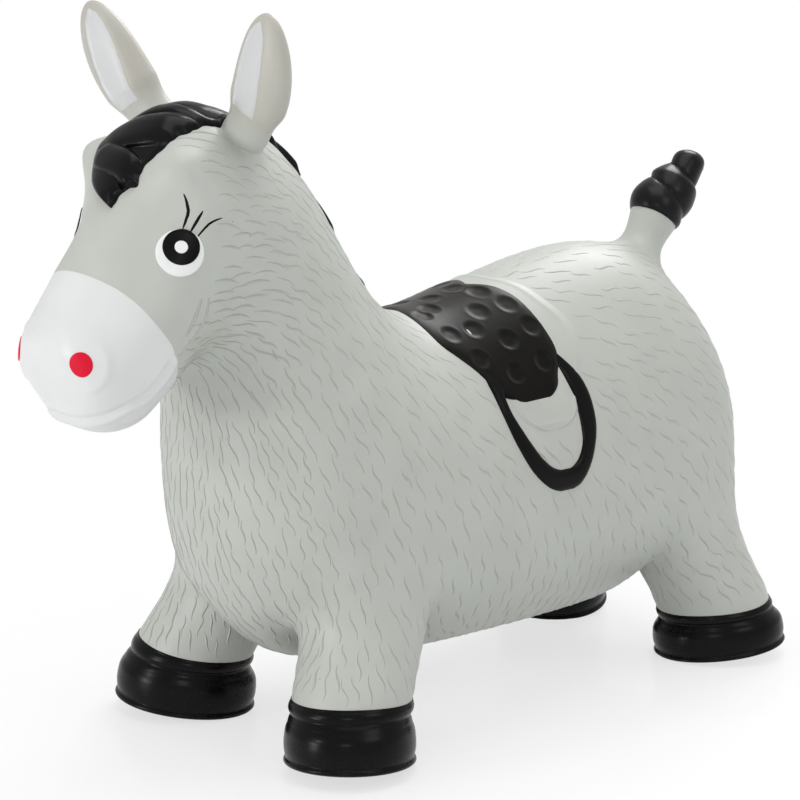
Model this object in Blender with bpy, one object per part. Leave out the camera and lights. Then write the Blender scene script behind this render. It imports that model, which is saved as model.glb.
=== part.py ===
"""Inflatable ride-on donkey: a blown-up PVC hopper that stands on its four hooves.

The animal faces -Y, its left side is +X and the floor is z = 0. The skin is one cage of rings,
from the rump to the nose, whose limbs are grown out of single faces, rounded by subdivision and
divided along its own rings into the pieces of the toy. Pads, eyes and hair are laid on that
skin, so they follow it when a size changes.
"""
import math

import bmesh
import bpy
import numpy as np
from mathutils import Vector
from mathutils.bvhtree import BVHTree

# Driving sizes of the body, in metres
BODY_LENGTH = 0.620
BODY_HEIGHT = 0.448
BODY_WIDTH = 0.218

# Legs and hooves; a hoof is longer outwards than across
FOOT_TRACK = 0.178
FOOT_FRONT = 0.185
FOOT_REAR = 0.193
HIP_TRACK = 0.104
HIP_FRONT = 0.120
HIP_REAR = 0.156
HIP_HEIGHT = 0.134
LEG_LENGTH_ACROSS = 0.080
HOOF_LENGTH = 0.100
HOOF_WIDTH = 0.089
FRONT_HOOF_HEIGHT = 0.042
REAR_HOOF_HEIGHT = 0.037
HOOF_TILT = math.radians(7.0)
FOOT_TURN = math.radians(45.0)
SOLE_FLAT = 0.0014

# Ears
EAR_LENGTH = 0.094
EAR_WIDTH = 0.050
EAR_THICKNESS = 0.028
EAR_SPREAD = 0.096
EAR_BOW = 0.004
EAR_LEAN_OUT = math.radians(30.0)
EAR_LEAN_FORWARD = math.radians(14.0)

# Tail
TAIL_STEM_LENGTH = 0.030
TAIL_WIDTH = 0.038
TAIL_LEAN = math.radians(35.0)
TUFT_LENGTH = 0.060
TUFT_WIDTH = 0.045
TUFT_TWIST = math.radians(400.0)
TUFT_BEND = 0.013

# Saddle and stirrup loops
SADDLE_WIDTH = 0.095
SADDLE_THICKNESS = 0.0026
SADDLE_REACH = math.radians(59.0)
SADDLE_EDGE_GAP = 0.0006
STIRRUP_WIDTH = 0.0130
STIRRUP_THICKNESS = 0.0018

# Hair
FORELOCK_WIDTH = 0.062
FORELOCK_THICKNESS = 0.0050
MANE_WIDTH = 0.026
MANE_THICKNESS = 0.0070

# Eyes, nostrils and ear linings
EYE_RADIUS = 0.0150
IRIS_RADIUS = 0.0114
HIGHLIGHT_RADIUS = 0.0040
IRIS_RISE = 0.0035
NOSTRIL_RADIUS = 0.0082
PAINT_THICKNESS = 0.0012
LINING_THICKNESS = 0.0012

# Valve under the belly
PORT_RADIUS = 0.0130
PORT_DEPTH = 0.0150
PORT_PROUD = 0.0012
BORE_RADIUS = 0.0050
BORE_DEPTH = 0.0120
PLUG_HEAD_RADIUS = 0.0085
PLUG_HEAD_HEIGHT = 0.0030
PLUG_STEM_LENGTH = 0.0080
PLUG_CLEARANCE = 0.0004

# Clearance between two pieces of the skin, and under a pad that follows the skin's facets
GAP = 0.0003
SEAT_GAP = 0.0008

# Reach of the rays that find the skin, well past the animal
RAY_REACH = 1.0

# Width of the sole beside the hoof's
SOLE_WIDTH_SHARE = 0.86

# Rings of a hoof: way down from its top and width
HOOF_SHARES = ((0.00, 0.90), (0.03, 0.925), (0.11, 0.935), (0.15, 0.91), (0.19, 0.935),
               (0.30, 0.975), (0.45, 0.995), (0.60, 1.00), (0.76, 0.985), (0.84, 0.955),
               (0.90, 0.96), (1.00, SOLE_WIDTH_SHARE))
HOOF_SIDES = 18

# Pads: height of the rounded edge and how late it rises, and the points across a disc
EDGE_SHARE = 0.35
EDGE_POWER = 6.0
DISC_POINTS = 7
SMALL_DISC_POINTS = 5

# Rings of the tuft: way from the stem to the tip and width
TUFT_SHARES = ((0.005, 0.90), (0.12, 0.97), (0.25, 1.00), (0.38, 0.95), (0.50, 0.84),
               (0.60, 0.76), (0.70, 0.70), (0.80, 0.62), (0.89, 0.48), (0.96, 0.32), (1.00, 0.14))
TUFT_SIDES = 18
TUFT_LOCKS = 3
TUFT_LOBE_SHARE = 0.14
TUFT_ONSET_SHARE = 0.25

# Saddle: height of the axis that its rays leave, and the y of its middle at spine and tips
TRUNK_AXIS_SHARE = 0.381
SADDLE_PLACE_SHARES = (-0.057, -0.018)
SADDLE_POWER = 2.3
SADDLE_END_SHARE = 0.998
SADDLE_ROWS = 27
SADDLE_COLUMNS = 11

# Stirrup: its angles at the top and bottom, its middle and half length, and the arc it takes
STIRRUP_ANGLES = (math.radians(38.0), math.radians(90.5))
STIRRUP_PLACE_SHARES = (-0.004, 0.054)
STIRRUP_TURNS = (math.radians(-150.0), math.radians(150.0))
STIRRUP_STEPS = 23
STRIP_COLUMNS = 4

# Head and neck cores that rays leave, and the stretches of the crest that the hair covers
HEAD_CORE_SHARES = (-0.423, 0.793)
NECK_CORE_SHARES = (-0.292, 0.518)
FORELOCK_ANGLES = (math.radians(-10.0), math.radians(62.0))
FORELOCK_END_SHARE = 0.97
FORELOCK_SHIFT_SHARE = 0.16
FORELOCK_POWERS = (2.6, 0.8)
FORELOCK_SHIFT_POWER = 4.0
FORELOCK_LOCKS = 3
FORELOCK_SLANT = 0.5
FORELOCK_GROOVE_SHARE = 0.28
FORELOCK_ROWS = 15
FORELOCK_COLUMNS = 13
MANE_ANGLES = (math.radians(14.0), math.radians(46.0))
MANE_LOCKS = 6
MANE_ROWS = 19
MANE_END_SHARE = 0.55
MANE_TAPER_SHARES = (0.25, 0.95)
MANE_GROOVE_SHARE = 0.26
MANE_EDGE_SHARE = 0.45

# Eyes and nostrils: the core points and directions of their rays
EYE_CORE_SHARES = (-0.424, 0.769)
EYE_DIRECTION = (math.radians(60.5), math.radians(12.0))
NOSTRIL_CORE_SHARES = (-0.494, 0.649)
NOSTRIL_AZIMUTH = math.radians(32.7)

# Ear linings: the ways at which they start and end, their slant and width
LINING_SPAN_SHARES = (0.34, 0.90)
LINING_SLANT_SHARE = 0.05
LINING_WIDTH_SHARE = 0.68
LINING_END_SHARE = 0.97
LINING_ROWS = 9
LINING_COLUMNS = 7

# Valve: its place along the belly
VALVE_PLACE_SHARE = 0.06
TURNED_STEPS = 24
WELD = 0.00001

# Finishes: colour and roughness
FINISH_VALUES = {
    "grey": ((0.475, 0.500, 0.460), 0.45),
    "white": ((0.770, 0.785, 0.785), 0.40),
    "black": ((0.010, 0.009, 0.009), 0.32),
    "red": ((0.680, 0.012, 0.045), 0.40),
    "plug": ((0.600, 0.600, 0.580), 0.40),
}
FINISHES = {}
SKIN_FINISHES = {"muzzle": "white"}
SHARP_ANGLE = math.radians(40.0)

# Rings of the cage
SECTORS = 12
LEVELS = 2

# Each station: dorsal y and z, ventral y and z, half width, height of the widest place.
# y is a share of the body length, z of the body height, the half width of the body width and
# the last of the station's own height.
STATION_SHARES = (
    (0.371, 0.483, 0.375, 0.310, 0.240, 0.50),
    (0.337, 0.607, 0.349, 0.176, 0.410, 0.47),
    (0.275, 0.686, 0.295, 0.094, 0.482, 0.44),
    (0.200, 0.710, 0.215, 0.090, 0.500, 0.43),
    (0.066, 0.678, 0.064, 0.090, 0.500, 0.41),
    (-0.068, 0.627, -0.085, 0.094, 0.490, 0.41),
    (-0.132, 0.641, -0.195, 0.101, 0.485, 0.43),
    (-0.178, 0.689, -0.290, 0.122, 0.455, 0.48),
    (-0.213, 0.768, -0.355, 0.201, 0.425, 0.38),
    (-0.243, 0.848, -0.384, 0.329, 0.355, 0.40),
    (-0.286, 0.919, -0.382, 0.455, 0.312, 0.47),
    (-0.342, 0.971, -0.388, 0.565, 0.302, 0.50),
    (-0.396, 0.991, -0.402, 0.610, 0.310, 0.53),
    (-0.446, 0.976, -0.420, 0.615, 0.318, 0.57),
    (-0.502, 0.873, -0.440, 0.600, 0.290, 0.53),
    (-0.540, 0.770, -0.460, 0.572, 0.258, 0.40),
    (-0.570, 0.721, -0.505, 0.528, 0.240, 0.44),
    (-0.590, 0.678, -0.562, 0.555, 0.170, 0.50),
)
# The station at which each piece of the trunk starts
TRUNK_STARTS = {"torso": 0, "neck": 8, "head": 11, "muzzle": 15}

# Each limb grows out of a patch of faces, as (stations, sectors down the left side)
FRONT_LEG_PATCH = ((6, 7), (3, 4))
REAR_LEG_PATCH = ((1, 2), (3, 4))
EAR_PATCH = ((11,), (0,))
TAIL_PATCH = ((1,), (SECTORS - 1,))
SIDES = {"left": 1.0, "right": -1.0}
LEG_POINTS = 8
EAR_POINTS = 4
TAIL_POINTS = 4

# Loops of a leg: way from the hip to the top of the hoof, length and width of the section
LEG_SHARES = ((0.48, 1.02, 1.02), (1.00, 1.08, 1.02), (1.50, 1.05, 1.00))

# Loops of an ear: way to the tip, width and thickness; the root bends between two of them
EAR_SHARES = ((0.00, 0.74, 1.16), (0.05, 0.66, 1.04), (0.17, 0.68, 1.00), (0.48, 1.00, 1.00),
              (0.82, 0.86, 0.70), (1.03, 0.24, 0.24))
EAR_PLACE_SHARES = (-0.374, 0.944)

# Loops of the tail: way from the rump to the tuft and width; its root bends like an ear's
TAIL_SHARES = ((0.10, 0.92), (0.32, 0.82), (0.64, 0.86), (1.00, 1.00), (1.35, 1.02))
TAIL_PLACE_SHARES = (0.312, 0.668)


def ring_factor(count):
    """Reach of a control ring over the smooth ring that it rounds off to."""
    return 3.0 / (2.0 + math.cos(2.0 * math.pi / count))


def station_ring(shares):
    """Control points of one station, from the left of the spine round to its right."""
    dorsal_y, dorsal_z, ventral_y, ventral_z, half_width, widest = shares
    dorsal = np.array((0.0, dorsal_y * BODY_LENGTH, dorsal_z * BODY_HEIGHT))
    ventral = np.array((0.0, ventral_y * BODY_LENGTH, ventral_z * BODY_HEIGHT))
    centre = ventral + (dorsal - ventral) * widest
    angle = 2.0 * math.pi * (np.arange(SECTORS) + 0.5) / SECTORS
    reach = ring_factor(SECTORS)
    up = np.clip(np.cos(angle), 0.0, None)[:, None] * (dorsal - centre)
    down = np.clip(-np.cos(angle), 0.0, None)[:, None] * (ventral - centre)
    across = np.sin(angle)[:, None] * np.array((half_width * BODY_WIDTH, 0.0, 0.0))
    return centre + reach * (up + down + across)


def limb_loop(count, centre, forward, sideways, half_depth, half_width):
    """Control points of an even number that round off to an ellipse about the centre."""
    reach = ring_factor(count)
    turn = math.pi / 4.0 if count == 4 else 0.0
    angles = [turn + 2.0 * math.pi * j / count for j in range(count)]
    return [centre + forward * (half_depth * reach * math.cos(angle))
            + sideways * (half_width * reach * math.sin(angle)) for angle in angles]


def nearest_order(loop, previous):
    """The loop's points in the order that lies nearest to the previous loop."""
    options = []
    for points in (loop, loop[::-1]):
        options += [points[turn:] + points[:turn] for turn in range(len(points))]
    return min(options, key=lambda points: sum((p - q).length_squared
                                               for p, q in zip(points, previous)))


def patch_border(patch):
    """Vertices round the border of a patch of faces, in order."""
    edges = {edge for face in patch for edge in face.edges
             if sum(other in patch for other in edge.link_faces) == 1}
    edge = edges.pop()
    ring = [edge.verts[0], edge.verts[1]]
    while edges:
        edge = next(other for other in edges if ring[-1] in other.verts)
        edges.remove(edge)
        ring.append(edge.other_vert(ring[-1]))
    return ring[:-1]


def grow_limb(bm, patch, loops, zones):
    """Grow a limb out of a patch through the loops; each step takes its zone's number."""
    ring = patch_border(patch)
    inside = {vert for face in patch for vert in face.verts} - set(ring)
    bmesh.ops.delete(bm, geom=patch, context="FACES_ONLY")
    for vert in inside:
        bm.verts.remove(vert)
    for loop, zone in zip(loops, zones):
        points = nearest_order(loop, [vert.co for vert in ring])
        new_ring = [bm.verts.new(point) for point in points]
        for j in range(len(ring)):
            k = (j + 1) % len(ring)
            step = bm.faces.new((ring[j], ring[k], new_ring[k], new_ring[j]))
            step.material_index = zone
        ring = new_ring
    if len(ring) == 4:
        bm.faces.new(ring).material_index = zones[-1]
        return
    centre = bm.verts.new(sum((vert.co for vert in ring), Vector()) / len(ring))
    for j in range(0, len(ring), 2):
        end = bm.faces.new((centre, ring[j], ring[j + 1], ring[(j + 2) % len(ring)]))
        end.material_index = zones[-1]


def limb_patch(faces, place, side):
    """Take a limb's patch of faces out of the trunk's; a sector is mirrored on the right."""
    stations, sectors = place
    if side < 0.0:
        sectors = [SECTORS - 2 - sector for sector in sectors]
    return [faces.pop((station, sector % SECTORS)) for station in stations
            for sector in sectors]


def leg_frame(side, front):
    """Sole centre, top of the hoof, hip, and the up, outward and across directions of a leg."""
    ahead = -1.0 if front else 1.0
    out = Vector((side * math.sin(FOOT_TURN), ahead * math.cos(FOOT_TURN), 0.0))
    up = (Vector((0.0, 0.0, math.cos(HOOF_TILT))) - out * math.sin(HOOF_TILT)).normalized()
    across = up.cross(out).normalized()
    lift = HOOF_LENGTH / 2.0 * SOLE_WIDTH_SHARE * math.sin(HOOF_TILT) - SOLE_FLAT
    foot_y = -FOOT_FRONT if front else FOOT_REAR
    hip_y = -HIP_FRONT if front else HIP_REAR
    height = FRONT_HOOF_HEIGHT if front else REAR_HOOF_HEIGHT
    sole = Vector((side * FOOT_TRACK / 2.0, foot_y, lift))
    hip = Vector((side * HIP_TRACK / 2.0, hip_y, HIP_HEIGHT))
    return sole, sole + up * height, hip, up, across.cross(up), across


def leg_loops(side, front):
    """Control loops of a leg, from its flare at the trunk down into the hoof."""
    sole, top, hip, up, out, across = leg_frame(side, front)
    loops = []
    for way, length_share, width_share in LEG_SHARES:
        centre = hip.lerp(top, way) if way <= 1.0 else top.lerp(sole, way - 1.0)
        loops.append(limb_loop(LEG_POINTS, centre, out, across, LEG_LENGTH_ACROSS / 2.0 * length_share,
                               LEG_LENGTH_ACROSS / 2.0 * width_share))
    return loops


def ear_frame(side):
    """Root, axis and the sideways and forward directions of an ear."""
    along, height = EAR_PLACE_SHARES
    root = Vector((side * EAR_SPREAD / 2.0, along * BODY_LENGTH, height * BODY_HEIGHT))
    axis = Vector((side * math.tan(EAR_LEAN_OUT), -math.tan(EAR_LEAN_FORWARD), 1.0)).normalized()
    forward = Vector((0.0, -1.0, 0.0))
    forward = (forward - axis * forward.dot(axis)).normalized()
    sideways = forward.cross(axis) * side
    if sideways.x * side < 0.0:
        sideways.negate()
    return root, axis, sideways, forward


def ear_point(side, way):
    """Centre of the ear at a share of its length; the blade bows outwards."""
    root, axis, sideways, forward = ear_frame(side)
    bow = 4.0 * way * (1.0 - way) * EAR_BOW
    return root + axis * (EAR_LENGTH * way) + sideways * bow


def ear_loops(side):
    """Control loops of an ear, from the crown of the head to its tip."""
    root, axis, sideways, forward = ear_frame(side)
    return [limb_loop(EAR_POINTS, ear_point(side, way), forward, sideways, EAR_THICKNESS / 2.0 * thickness,
                      EAR_WIDTH / 2.0 * width) for way, width, thickness in EAR_SHARES]


def tail_frame():
    """Root and axis of the tail."""
    along, height = TAIL_PLACE_SHARES
    root = Vector((0.0, along * BODY_LENGTH, height * BODY_HEIGHT))
    return root, Vector((0.0, math.sin(TAIL_LEAN), math.cos(TAIL_LEAN)))


def tail_loops():
    """Control loops of the tail, from the rump into the tuft."""
    root, axis = tail_frame()
    sideways = Vector((1.0, 0.0, 0.0))
    forward = sideways.cross(axis)
    return [limb_loop(TAIL_POINTS, root + axis * (TAIL_STEM_LENGTH * way), forward, sideways,
                      TAIL_WIDTH / 2.0 * width, TAIL_WIDTH / 2.0 * width)
            for way, width in TAIL_SHARES]


def trunk_zone(station, zones):
    """Number of the trunk piece that the faces after this station belong to."""
    names = [name for name, start in TRUNK_STARTS.items() if start <= station]
    return zones.index(names[-1])


def zone_names():
    """Every piece that is cut from the skin, in order; the last is dropped."""
    names = list(TRUNK_STARTS)
    for side in SIDES:
        names += [f"leg_front_{side}", f"leg_rear_{side}", f"ear_root_{side}", f"ear_{side}"]
    return names + ["tail_root", "tail_stem", "waste"]


def skin_cage():
    """The whole animal as one closed cage of quads, each face marked with its piece."""
    zones = zone_names()
    bm = bmesh.new()
    rows = [[bm.verts.new(point) for point in station_ring(shares)] for shares in STATION_SHARES]
    faces = {}
    for i in range(len(rows) - 1):
        for k in range(SECTORS):
            corner = (k + 1) % SECTORS
            face = bm.faces.new((rows[i][k], rows[i][corner], rows[i + 1][corner],
                                 rows[i + 1][k]))
            face.material_index = trunk_zone(i, zones)
            faces[i, k] = face
    for row, zone in ((rows[0], 0), (rows[-1], trunk_zone(len(rows) - 1, zones))):
        centre = bm.verts.new(sum((vert.co for vert in row), Vector()) / SECTORS)
        for k in range(0, SECTORS, 2):
            end = bm.faces.new((centre, row[(k + 2) % SECTORS], row[k + 1], row[k]))
            end.material_index = zone
    torso, head, waste = zones.index("torso"), zones.index("head"), zones.index("waste")
    for name, side in SIDES.items():
        for end, place in (("front", FRONT_LEG_PATCH), ("rear", REAR_LEG_PATCH)):
            grow_limb(bm, limb_patch(faces, place, side), leg_loops(side, end == "front"),
                      (torso, zones.index(f"leg_{end}_{name}"), waste))
        root, blade = zones.index(f"ear_root_{name}"), zones.index(f"ear_{name}")
        grow_limb(bm, limb_patch(faces, EAR_PATCH, side), ear_loops(side),
                  (head, head, root) + (blade,) * (len(EAR_SHARES) - 3))
    root, stem = zones.index("tail_root"), zones.index("tail_stem")
    grow_limb(bm, limb_patch(faces, TAIL_PATCH, SIDES["left"]), tail_loops(),
              (torso, torso, root, stem, waste))
    bmesh.ops.recalc_face_normals(bm, faces=bm.faces)
    cage = bpy.data.meshes.new("skin_cage")
    bm.to_mesh(cage)
    bm.free()
    return cage


def smooth_skin():
    """The cage rounded by subdivision, as a mesh that the pieces are cut from."""
    guide = bpy.data.objects.new("skin_guide", skin_cage())
    bpy.context.scene.collection.objects.link(guide)
    rounding = guide.modifiers.new("rounding", "SUBSURF")
    rounding.levels = LEVELS
    rounding.render_levels = LEVELS
    depsgraph = bpy.context.evaluated_depsgraph_get()
    skin = bpy.data.meshes.new_from_object(guide.evaluated_get(depsgraph))
    bpy.data.objects.remove(guide)
    return skin


def add_piece(name, mesh, finish, root):
    """Put a closed mesh into the scene as one piece, under the animal's empty."""
    bm = bmesh.new()
    bm.from_mesh(mesh)
    bmesh.ops.recalc_face_normals(bm, faces=bm.faces)
    bm.to_mesh(mesh)
    bm.free()
    mesh.shade_smooth()
    mesh.set_sharp_from_angle(angle=SHARP_ANGLE)
    mesh.materials.clear()
    mesh.materials.append(FINISHES[finish])
    piece = bpy.data.objects.new(name, mesh)
    bpy.context.scene.collection.objects.link(piece)
    piece.parent = root
    return piece


def mesh_from(name, points, faces):
    """A mesh of the points and faces."""
    mesh = bpy.data.meshes.new(name)
    mesh.from_pydata([tuple(point) for point in points], [], faces)
    return mesh


def make_finishes():
    """One Principled material for each colour of the toy."""
    for name, (colour, roughness) in FINISH_VALUES.items():
        material = bpy.data.materials.new(name)
        material.use_nodes = True
        shader = material.node_tree.nodes["Principled BSDF"]
        shader.inputs["Base Color"].default_value = (*colour, 1.0)
        shader.inputs["Roughness"].default_value = roughness
        shader.inputs["Metallic"].default_value = 0.0
        FINISHES[name] = material


def border_loops(faces):
    """Closed loops of the edges that only one of the faces has, in order."""
    used = {(a, b) for face in faces for a, b in zip(face, face[1:] + face[:1])}
    following = {a: b for a, b in used if (b, a) not in used}
    loops = []
    while following:
        first, current = following.popitem()
        loop = [first]
        while current != first:
            loop.append(current)
            current = following.pop(current)
        loops.append(loop)
    return loops


def inner_side(faces, loop, points):
    """Mean corner of the faces that touch a border loop, which lies on the piece's own side."""
    border = set(loop)
    corners = [points[index] for face in faces if border & set(face)
               for index in face if index not in border]
    return sum(corners, Vector()) / len(corners)


def cut_piece(name, skin, zone, end_plane=None):
    """One piece of the skin: its faces, drawn in by half the gap at each cut and capped there.

    An end plane, a point and a normal, holds the cut at which the next piece is not skin.
    """
    faces = [list(face.vertices) for face in skin.polygons if face.material_index == zone]
    points = {index: skin.vertices[index].co.copy() for face in faces for index in face}
    loops = border_loops(faces)
    centres = [sum((points[index] for index in loop), Vector()) / len(loop) for loop in loops]
    last = None
    if end_plane:
        last = min(range(len(loops)), key=lambda i: (centres[i] - end_plane[0]).length)
    caps = []
    for i, (loop, centre) in enumerate(zip(loops, centres)):
        spokes = [points[index] - centre for index in loop]
        normal = sum((a.cross(b) for a, b in zip(spokes, spokes[1:] + spokes[:1])), Vector())
        normal.normalize()
        if normal.dot(inner_side(faces, loop, points) - centre) < 0.0:
            normal.negate()
        for index in loop:
            if i == last:
                point, axis = end_plane
                points[index] -= axis * (points[index] - point).dot(axis)
                points[index] += axis * GAP * math.copysign(1.0, axis.dot(normal))
            else:
                points[index] += normal * (GAP / 2.0)
        hub = len(skin.vertices) + len(caps)
        points[hub] = sum((points[index] for index in loop), Vector()) / len(loop)
        caps.append([[b, a, hub] for a, b in zip(loop, loop[1:] + loop[:1])])
    faces += [face for cap in caps for face in cap]
    order = {index: place for place, index in enumerate(points)}
    return mesh_from(name, points.values(), [[order[index] for index in face] for face in faces])


def surface_of(mesh):
    """A search tree of a mesh's faces for the rays that lay a pad on it."""
    return BVHTree.FromPolygons([vert.co for vert in mesh.vertices],
                                [tuple(face.vertices) for face in mesh.polygons])


def outer_hit(tree, core, direction):
    """Point and normal where a ray from the core leaves the surface for the last time."""
    point, normal, _, _ = tree.ray_cast(core + direction * RAY_REACH, -direction)
    return point, normal


def slab(name, hits, heights, seat=SEAT_GAP):
    """A pad over a grid of surface points and normals, as thick as its grid of heights."""
    rows, columns = len(hits), len(hits[0])
    points = [[point + normal * seat for point, normal in row] for row in hits]
    tops = [[point + normal * (SEAT_GAP + height) for (point, normal), height in zip(*pair)]
            for pair in zip(hits, heights)]
    corners = [point for row in points for point in row] + [point for row in tops for point in row]
    upper = rows * columns
    faces = []
    for i in range(rows - 1):
        for j in range(columns - 1):
            a, b = i * columns + j, (i + 1) * columns + j
            faces.append((a, a + 1, b + 1, b))
            faces.append((upper + b, upper + b + 1, upper + a + 1, upper + a))
    rim = [j for j in range(columns)]
    rim += [i * columns + columns - 1 for i in range(1, rows)]
    rim += [(rows - 1) * columns + j for j in range(columns - 2, -1, -1)]
    rim += [i * columns for i in range(rows - 2, 0, -1)]
    faces += [(a, upper + a, upper + b, b) for a, b in zip(rim, rim[1:] + rim[:1])]
    return mesh_from(name, corners, faces)


def spread(count):
    """Places from -1 to 1 that crowd together at both ends, where a pad's edge turns."""
    return np.sin(np.linspace(-math.pi / 2.0, math.pi / 2.0, count))


def rounded(across):
    """Height of a pad with a rounded edge, from the edge's share up to 1 inside."""
    return EDGE_SHARE + (1.0 - EDGE_SHARE) * (1.0 - min(1.0, abs(across)) ** EDGE_POWER)


def disc_slab(name, tree, core, direction, up, radius, thickness, count=DISC_POINTS):
    """A round pad laid on a surface along one direction."""
    right = up.cross(direction).normalized()
    up = direction.cross(right)
    hits, heights = [], []
    for a in spread(count):
        row, row_heights = [], []
        for b in spread(count):
            x = a * math.sqrt(1.0 - b * b / 2.0) * radius
            y = b * math.sqrt(1.0 - a * a / 2.0) * radius
            row.append(outer_hit(tree, core + right * x + up * y, direction))
            row_heights.append(thickness * rounded(math.hypot(x, y) / radius))
        hits.append(row)
        heights.append(row_heights)
    return slab(name, hits, heights)


def trunk_ray(angle, along):
    """Core point and direction of a ray round the trunk, from the spine down its side."""
    core = Vector((0.0, along, TRUNK_AXIS_SHARE * BODY_HEIGHT))
    return core, Vector((math.sin(angle), 0.0, math.cos(angle)))


def saddle_slab(name, tree, grown=0.0, seat=SEAT_GAP, thickness=SADDLE_THICKNESS):
    """The saddle pad, over the back and down both sides, narrowing to round tips.

    Grown all round, sunk and thickened, it is also the cutter that ends the stirrups.
    """
    hits, heights = [], []
    reach = SADDLE_REACH + grown / (BODY_WIDTH / 2.0)
    for a in spread(SADDLE_ROWS) * SADDLE_END_SHARE:
        half = SADDLE_WIDTH / 2.0 * (1.0 - abs(a) ** SADDLE_POWER) ** (1.0 / SADDLE_POWER)
        front, rear = SADDLE_PLACE_SHARES
        middle = (front + (rear - front) * math.sin(abs(a) * math.pi / 2.0) ** 2.0) * BODY_LENGTH
        across = spread(SADDLE_COLUMNS)
        hits.append([outer_hit(tree, *trunk_ray(a * reach, middle + (half + grown) * b))
                     for b in across])
        heights.append([thickness * rounded(max(abs(a) ** 2.0, abs(b))) for b in across])
    return slab(name, hits, heights, seat)


def stirrup_slab(name, tree, side):
    """The stirrup band, a U from the saddle's front edge down the flank and back to its rear."""
    hits, heights = [], []
    top, bottom = STIRRUP_ANGLES
    centre, half_length = (share * BODY_LENGTH for share in STIRRUP_PLACE_SHARES)
    for turn in np.linspace(*STIRRUP_TURNS, STIRRUP_STEPS):
        drop = (bottom + top) / 2.0 + (bottom - top) / 2.0 * math.cos(turn)
        along = centre + half_length * math.sin(turn)
        slope = Vector((-math.sin(turn) * (bottom - top) / 2.0 * BODY_WIDTH / 2.0,
                        half_length * math.cos(turn))).normalized()
        row = []
        for b in np.linspace(-1.0, 1.0, STRIP_COLUMNS):
            shift = b * STIRRUP_WIDTH / 2.0
            angle = drop + slope.y * shift / (BODY_WIDTH / 2.0)
            row.append(outer_hit(tree, *trunk_ray(side * angle, along - slope.x * shift)))
        hits.append(row)
        heights.append([STIRRUP_THICKNESS * rounded(b)
                        for b in np.linspace(-1.0, 1.0, STRIP_COLUMNS)])
    return slab(name, hits, heights)


def head_point(shares):
    """A point on the middle plane, from shares of the body length and body height."""
    along, height = shares
    return Vector((0.0, along * BODY_LENGTH, height * BODY_HEIGHT))


def forelock_slab(tree):
    """The forelock: three locks that fall from between the ears to a tip over the brow."""
    core = head_point(HEAD_CORE_SHARES)
    back, front = FORELOCK_ANGLES
    widening, rounding = FORELOCK_POWERS
    hits, heights = [], []
    for q in np.linspace(0.0, FORELOCK_END_SHARE, FORELOCK_ROWS):
        angle = back + (front - back) * q
        half = FORELOCK_WIDTH / 2.0 * (1.0 - q ** widening) ** rounding
        middle = FORELOCK_WIDTH * FORELOCK_SHIFT_SHARE * q ** FORELOCK_SHIFT_POWER
        direction = Vector((0.0, -math.sin(angle), math.cos(angle)))
        row, row_heights = [], []
        for b in np.linspace(-1.0, 1.0, FORELOCK_COLUMNS):
            start = core + Vector((middle + half * b, 0.0, 0.0))
            row.append(outer_hit(tree, start, direction))
            wave = math.cos(FORELOCK_LOCKS * math.pi * (b + FORELOCK_SLANT * q))
            lock = 1.0 - FORELOCK_GROOVE_SHARE * (1.0 - wave)
            row_heights.append(FORELOCK_THICKNESS * lock * rounded(b))
        hits.append(row)
        heights.append(row_heights)
    return slab("forelock", hits, heights)


def mane_slab(tree):
    """The mane: a ridge of short overlapping locks down the crest of the neck."""
    start, end = head_point(HEAD_CORE_SHARES), head_point(NECK_CORE_SHARES)
    taper_start, taper_end = MANE_TAPER_SHARES
    hits, heights = [], []
    for q in np.linspace(0.0, 1.0, MANE_ROWS):
        angle = MANE_ANGLES[0] + (MANE_ANGLES[1] - MANE_ANGLES[0]) * q
        direction = Vector((0.0, math.sin(angle), math.cos(angle)))
        swell = math.sin(math.pi * (taper_start + (taper_end - taper_start) * q))
        half = MANE_WIDTH / 2.0 * (MANE_END_SHARE + (1.0 - MANE_END_SHARE) * swell)
        lock = 1.0 - MANE_GROOVE_SHARE * (1.0 - abs(math.sin(math.pi * MANE_LOCKS * q)))
        row = []
        for b in np.linspace(-1.0, 1.0, STRIP_COLUMNS):
            core = start.lerp(end, q) + Vector((half * b, 0.0, 0.0))
            row.append(outer_hit(tree, core, direction))
        hits.append(row)
        heights.append([MANE_THICKNESS * lock * math.sqrt(1.0 - (1.0 - MANE_EDGE_SHARE ** 2) * b * b)
                        for b in np.linspace(-1.0, 1.0, STRIP_COLUMNS)])
    return slab("mane", hits, heights)


def lining_slab(name, tree, side):
    """The pale lining on the front of an ear, with a slanted lower edge."""
    root, axis, sideways, forward = ear_frame(side)
    hits, heights = [], []
    for a in np.linspace(0.0, 1.0, LINING_ROWS):
        row = []
        for b in np.linspace(-1.0, 1.0, LINING_COLUMNS):
            start = LINING_SPAN_SHARES[0] - LINING_SLANT_SHARE * b * (1.0 - a)
            way = start + (LINING_SPAN_SHARES[1] - start) * a
            half = EAR_WIDTH / 2.0 * LINING_WIDTH_SHARE * math.sqrt(1.0 - (LINING_END_SHARE * a) ** 4)
            core = ear_point(side, way) + sideways * (half * b)
            row.append(outer_hit(tree, core, forward))
        hits.append(row)
        heights.append([LINING_THICKNESS * rounded(b)
                        for b in np.linspace(-1.0, 1.0, LINING_COLUMNS)])
    return slab(name, hits, heights)


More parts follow.
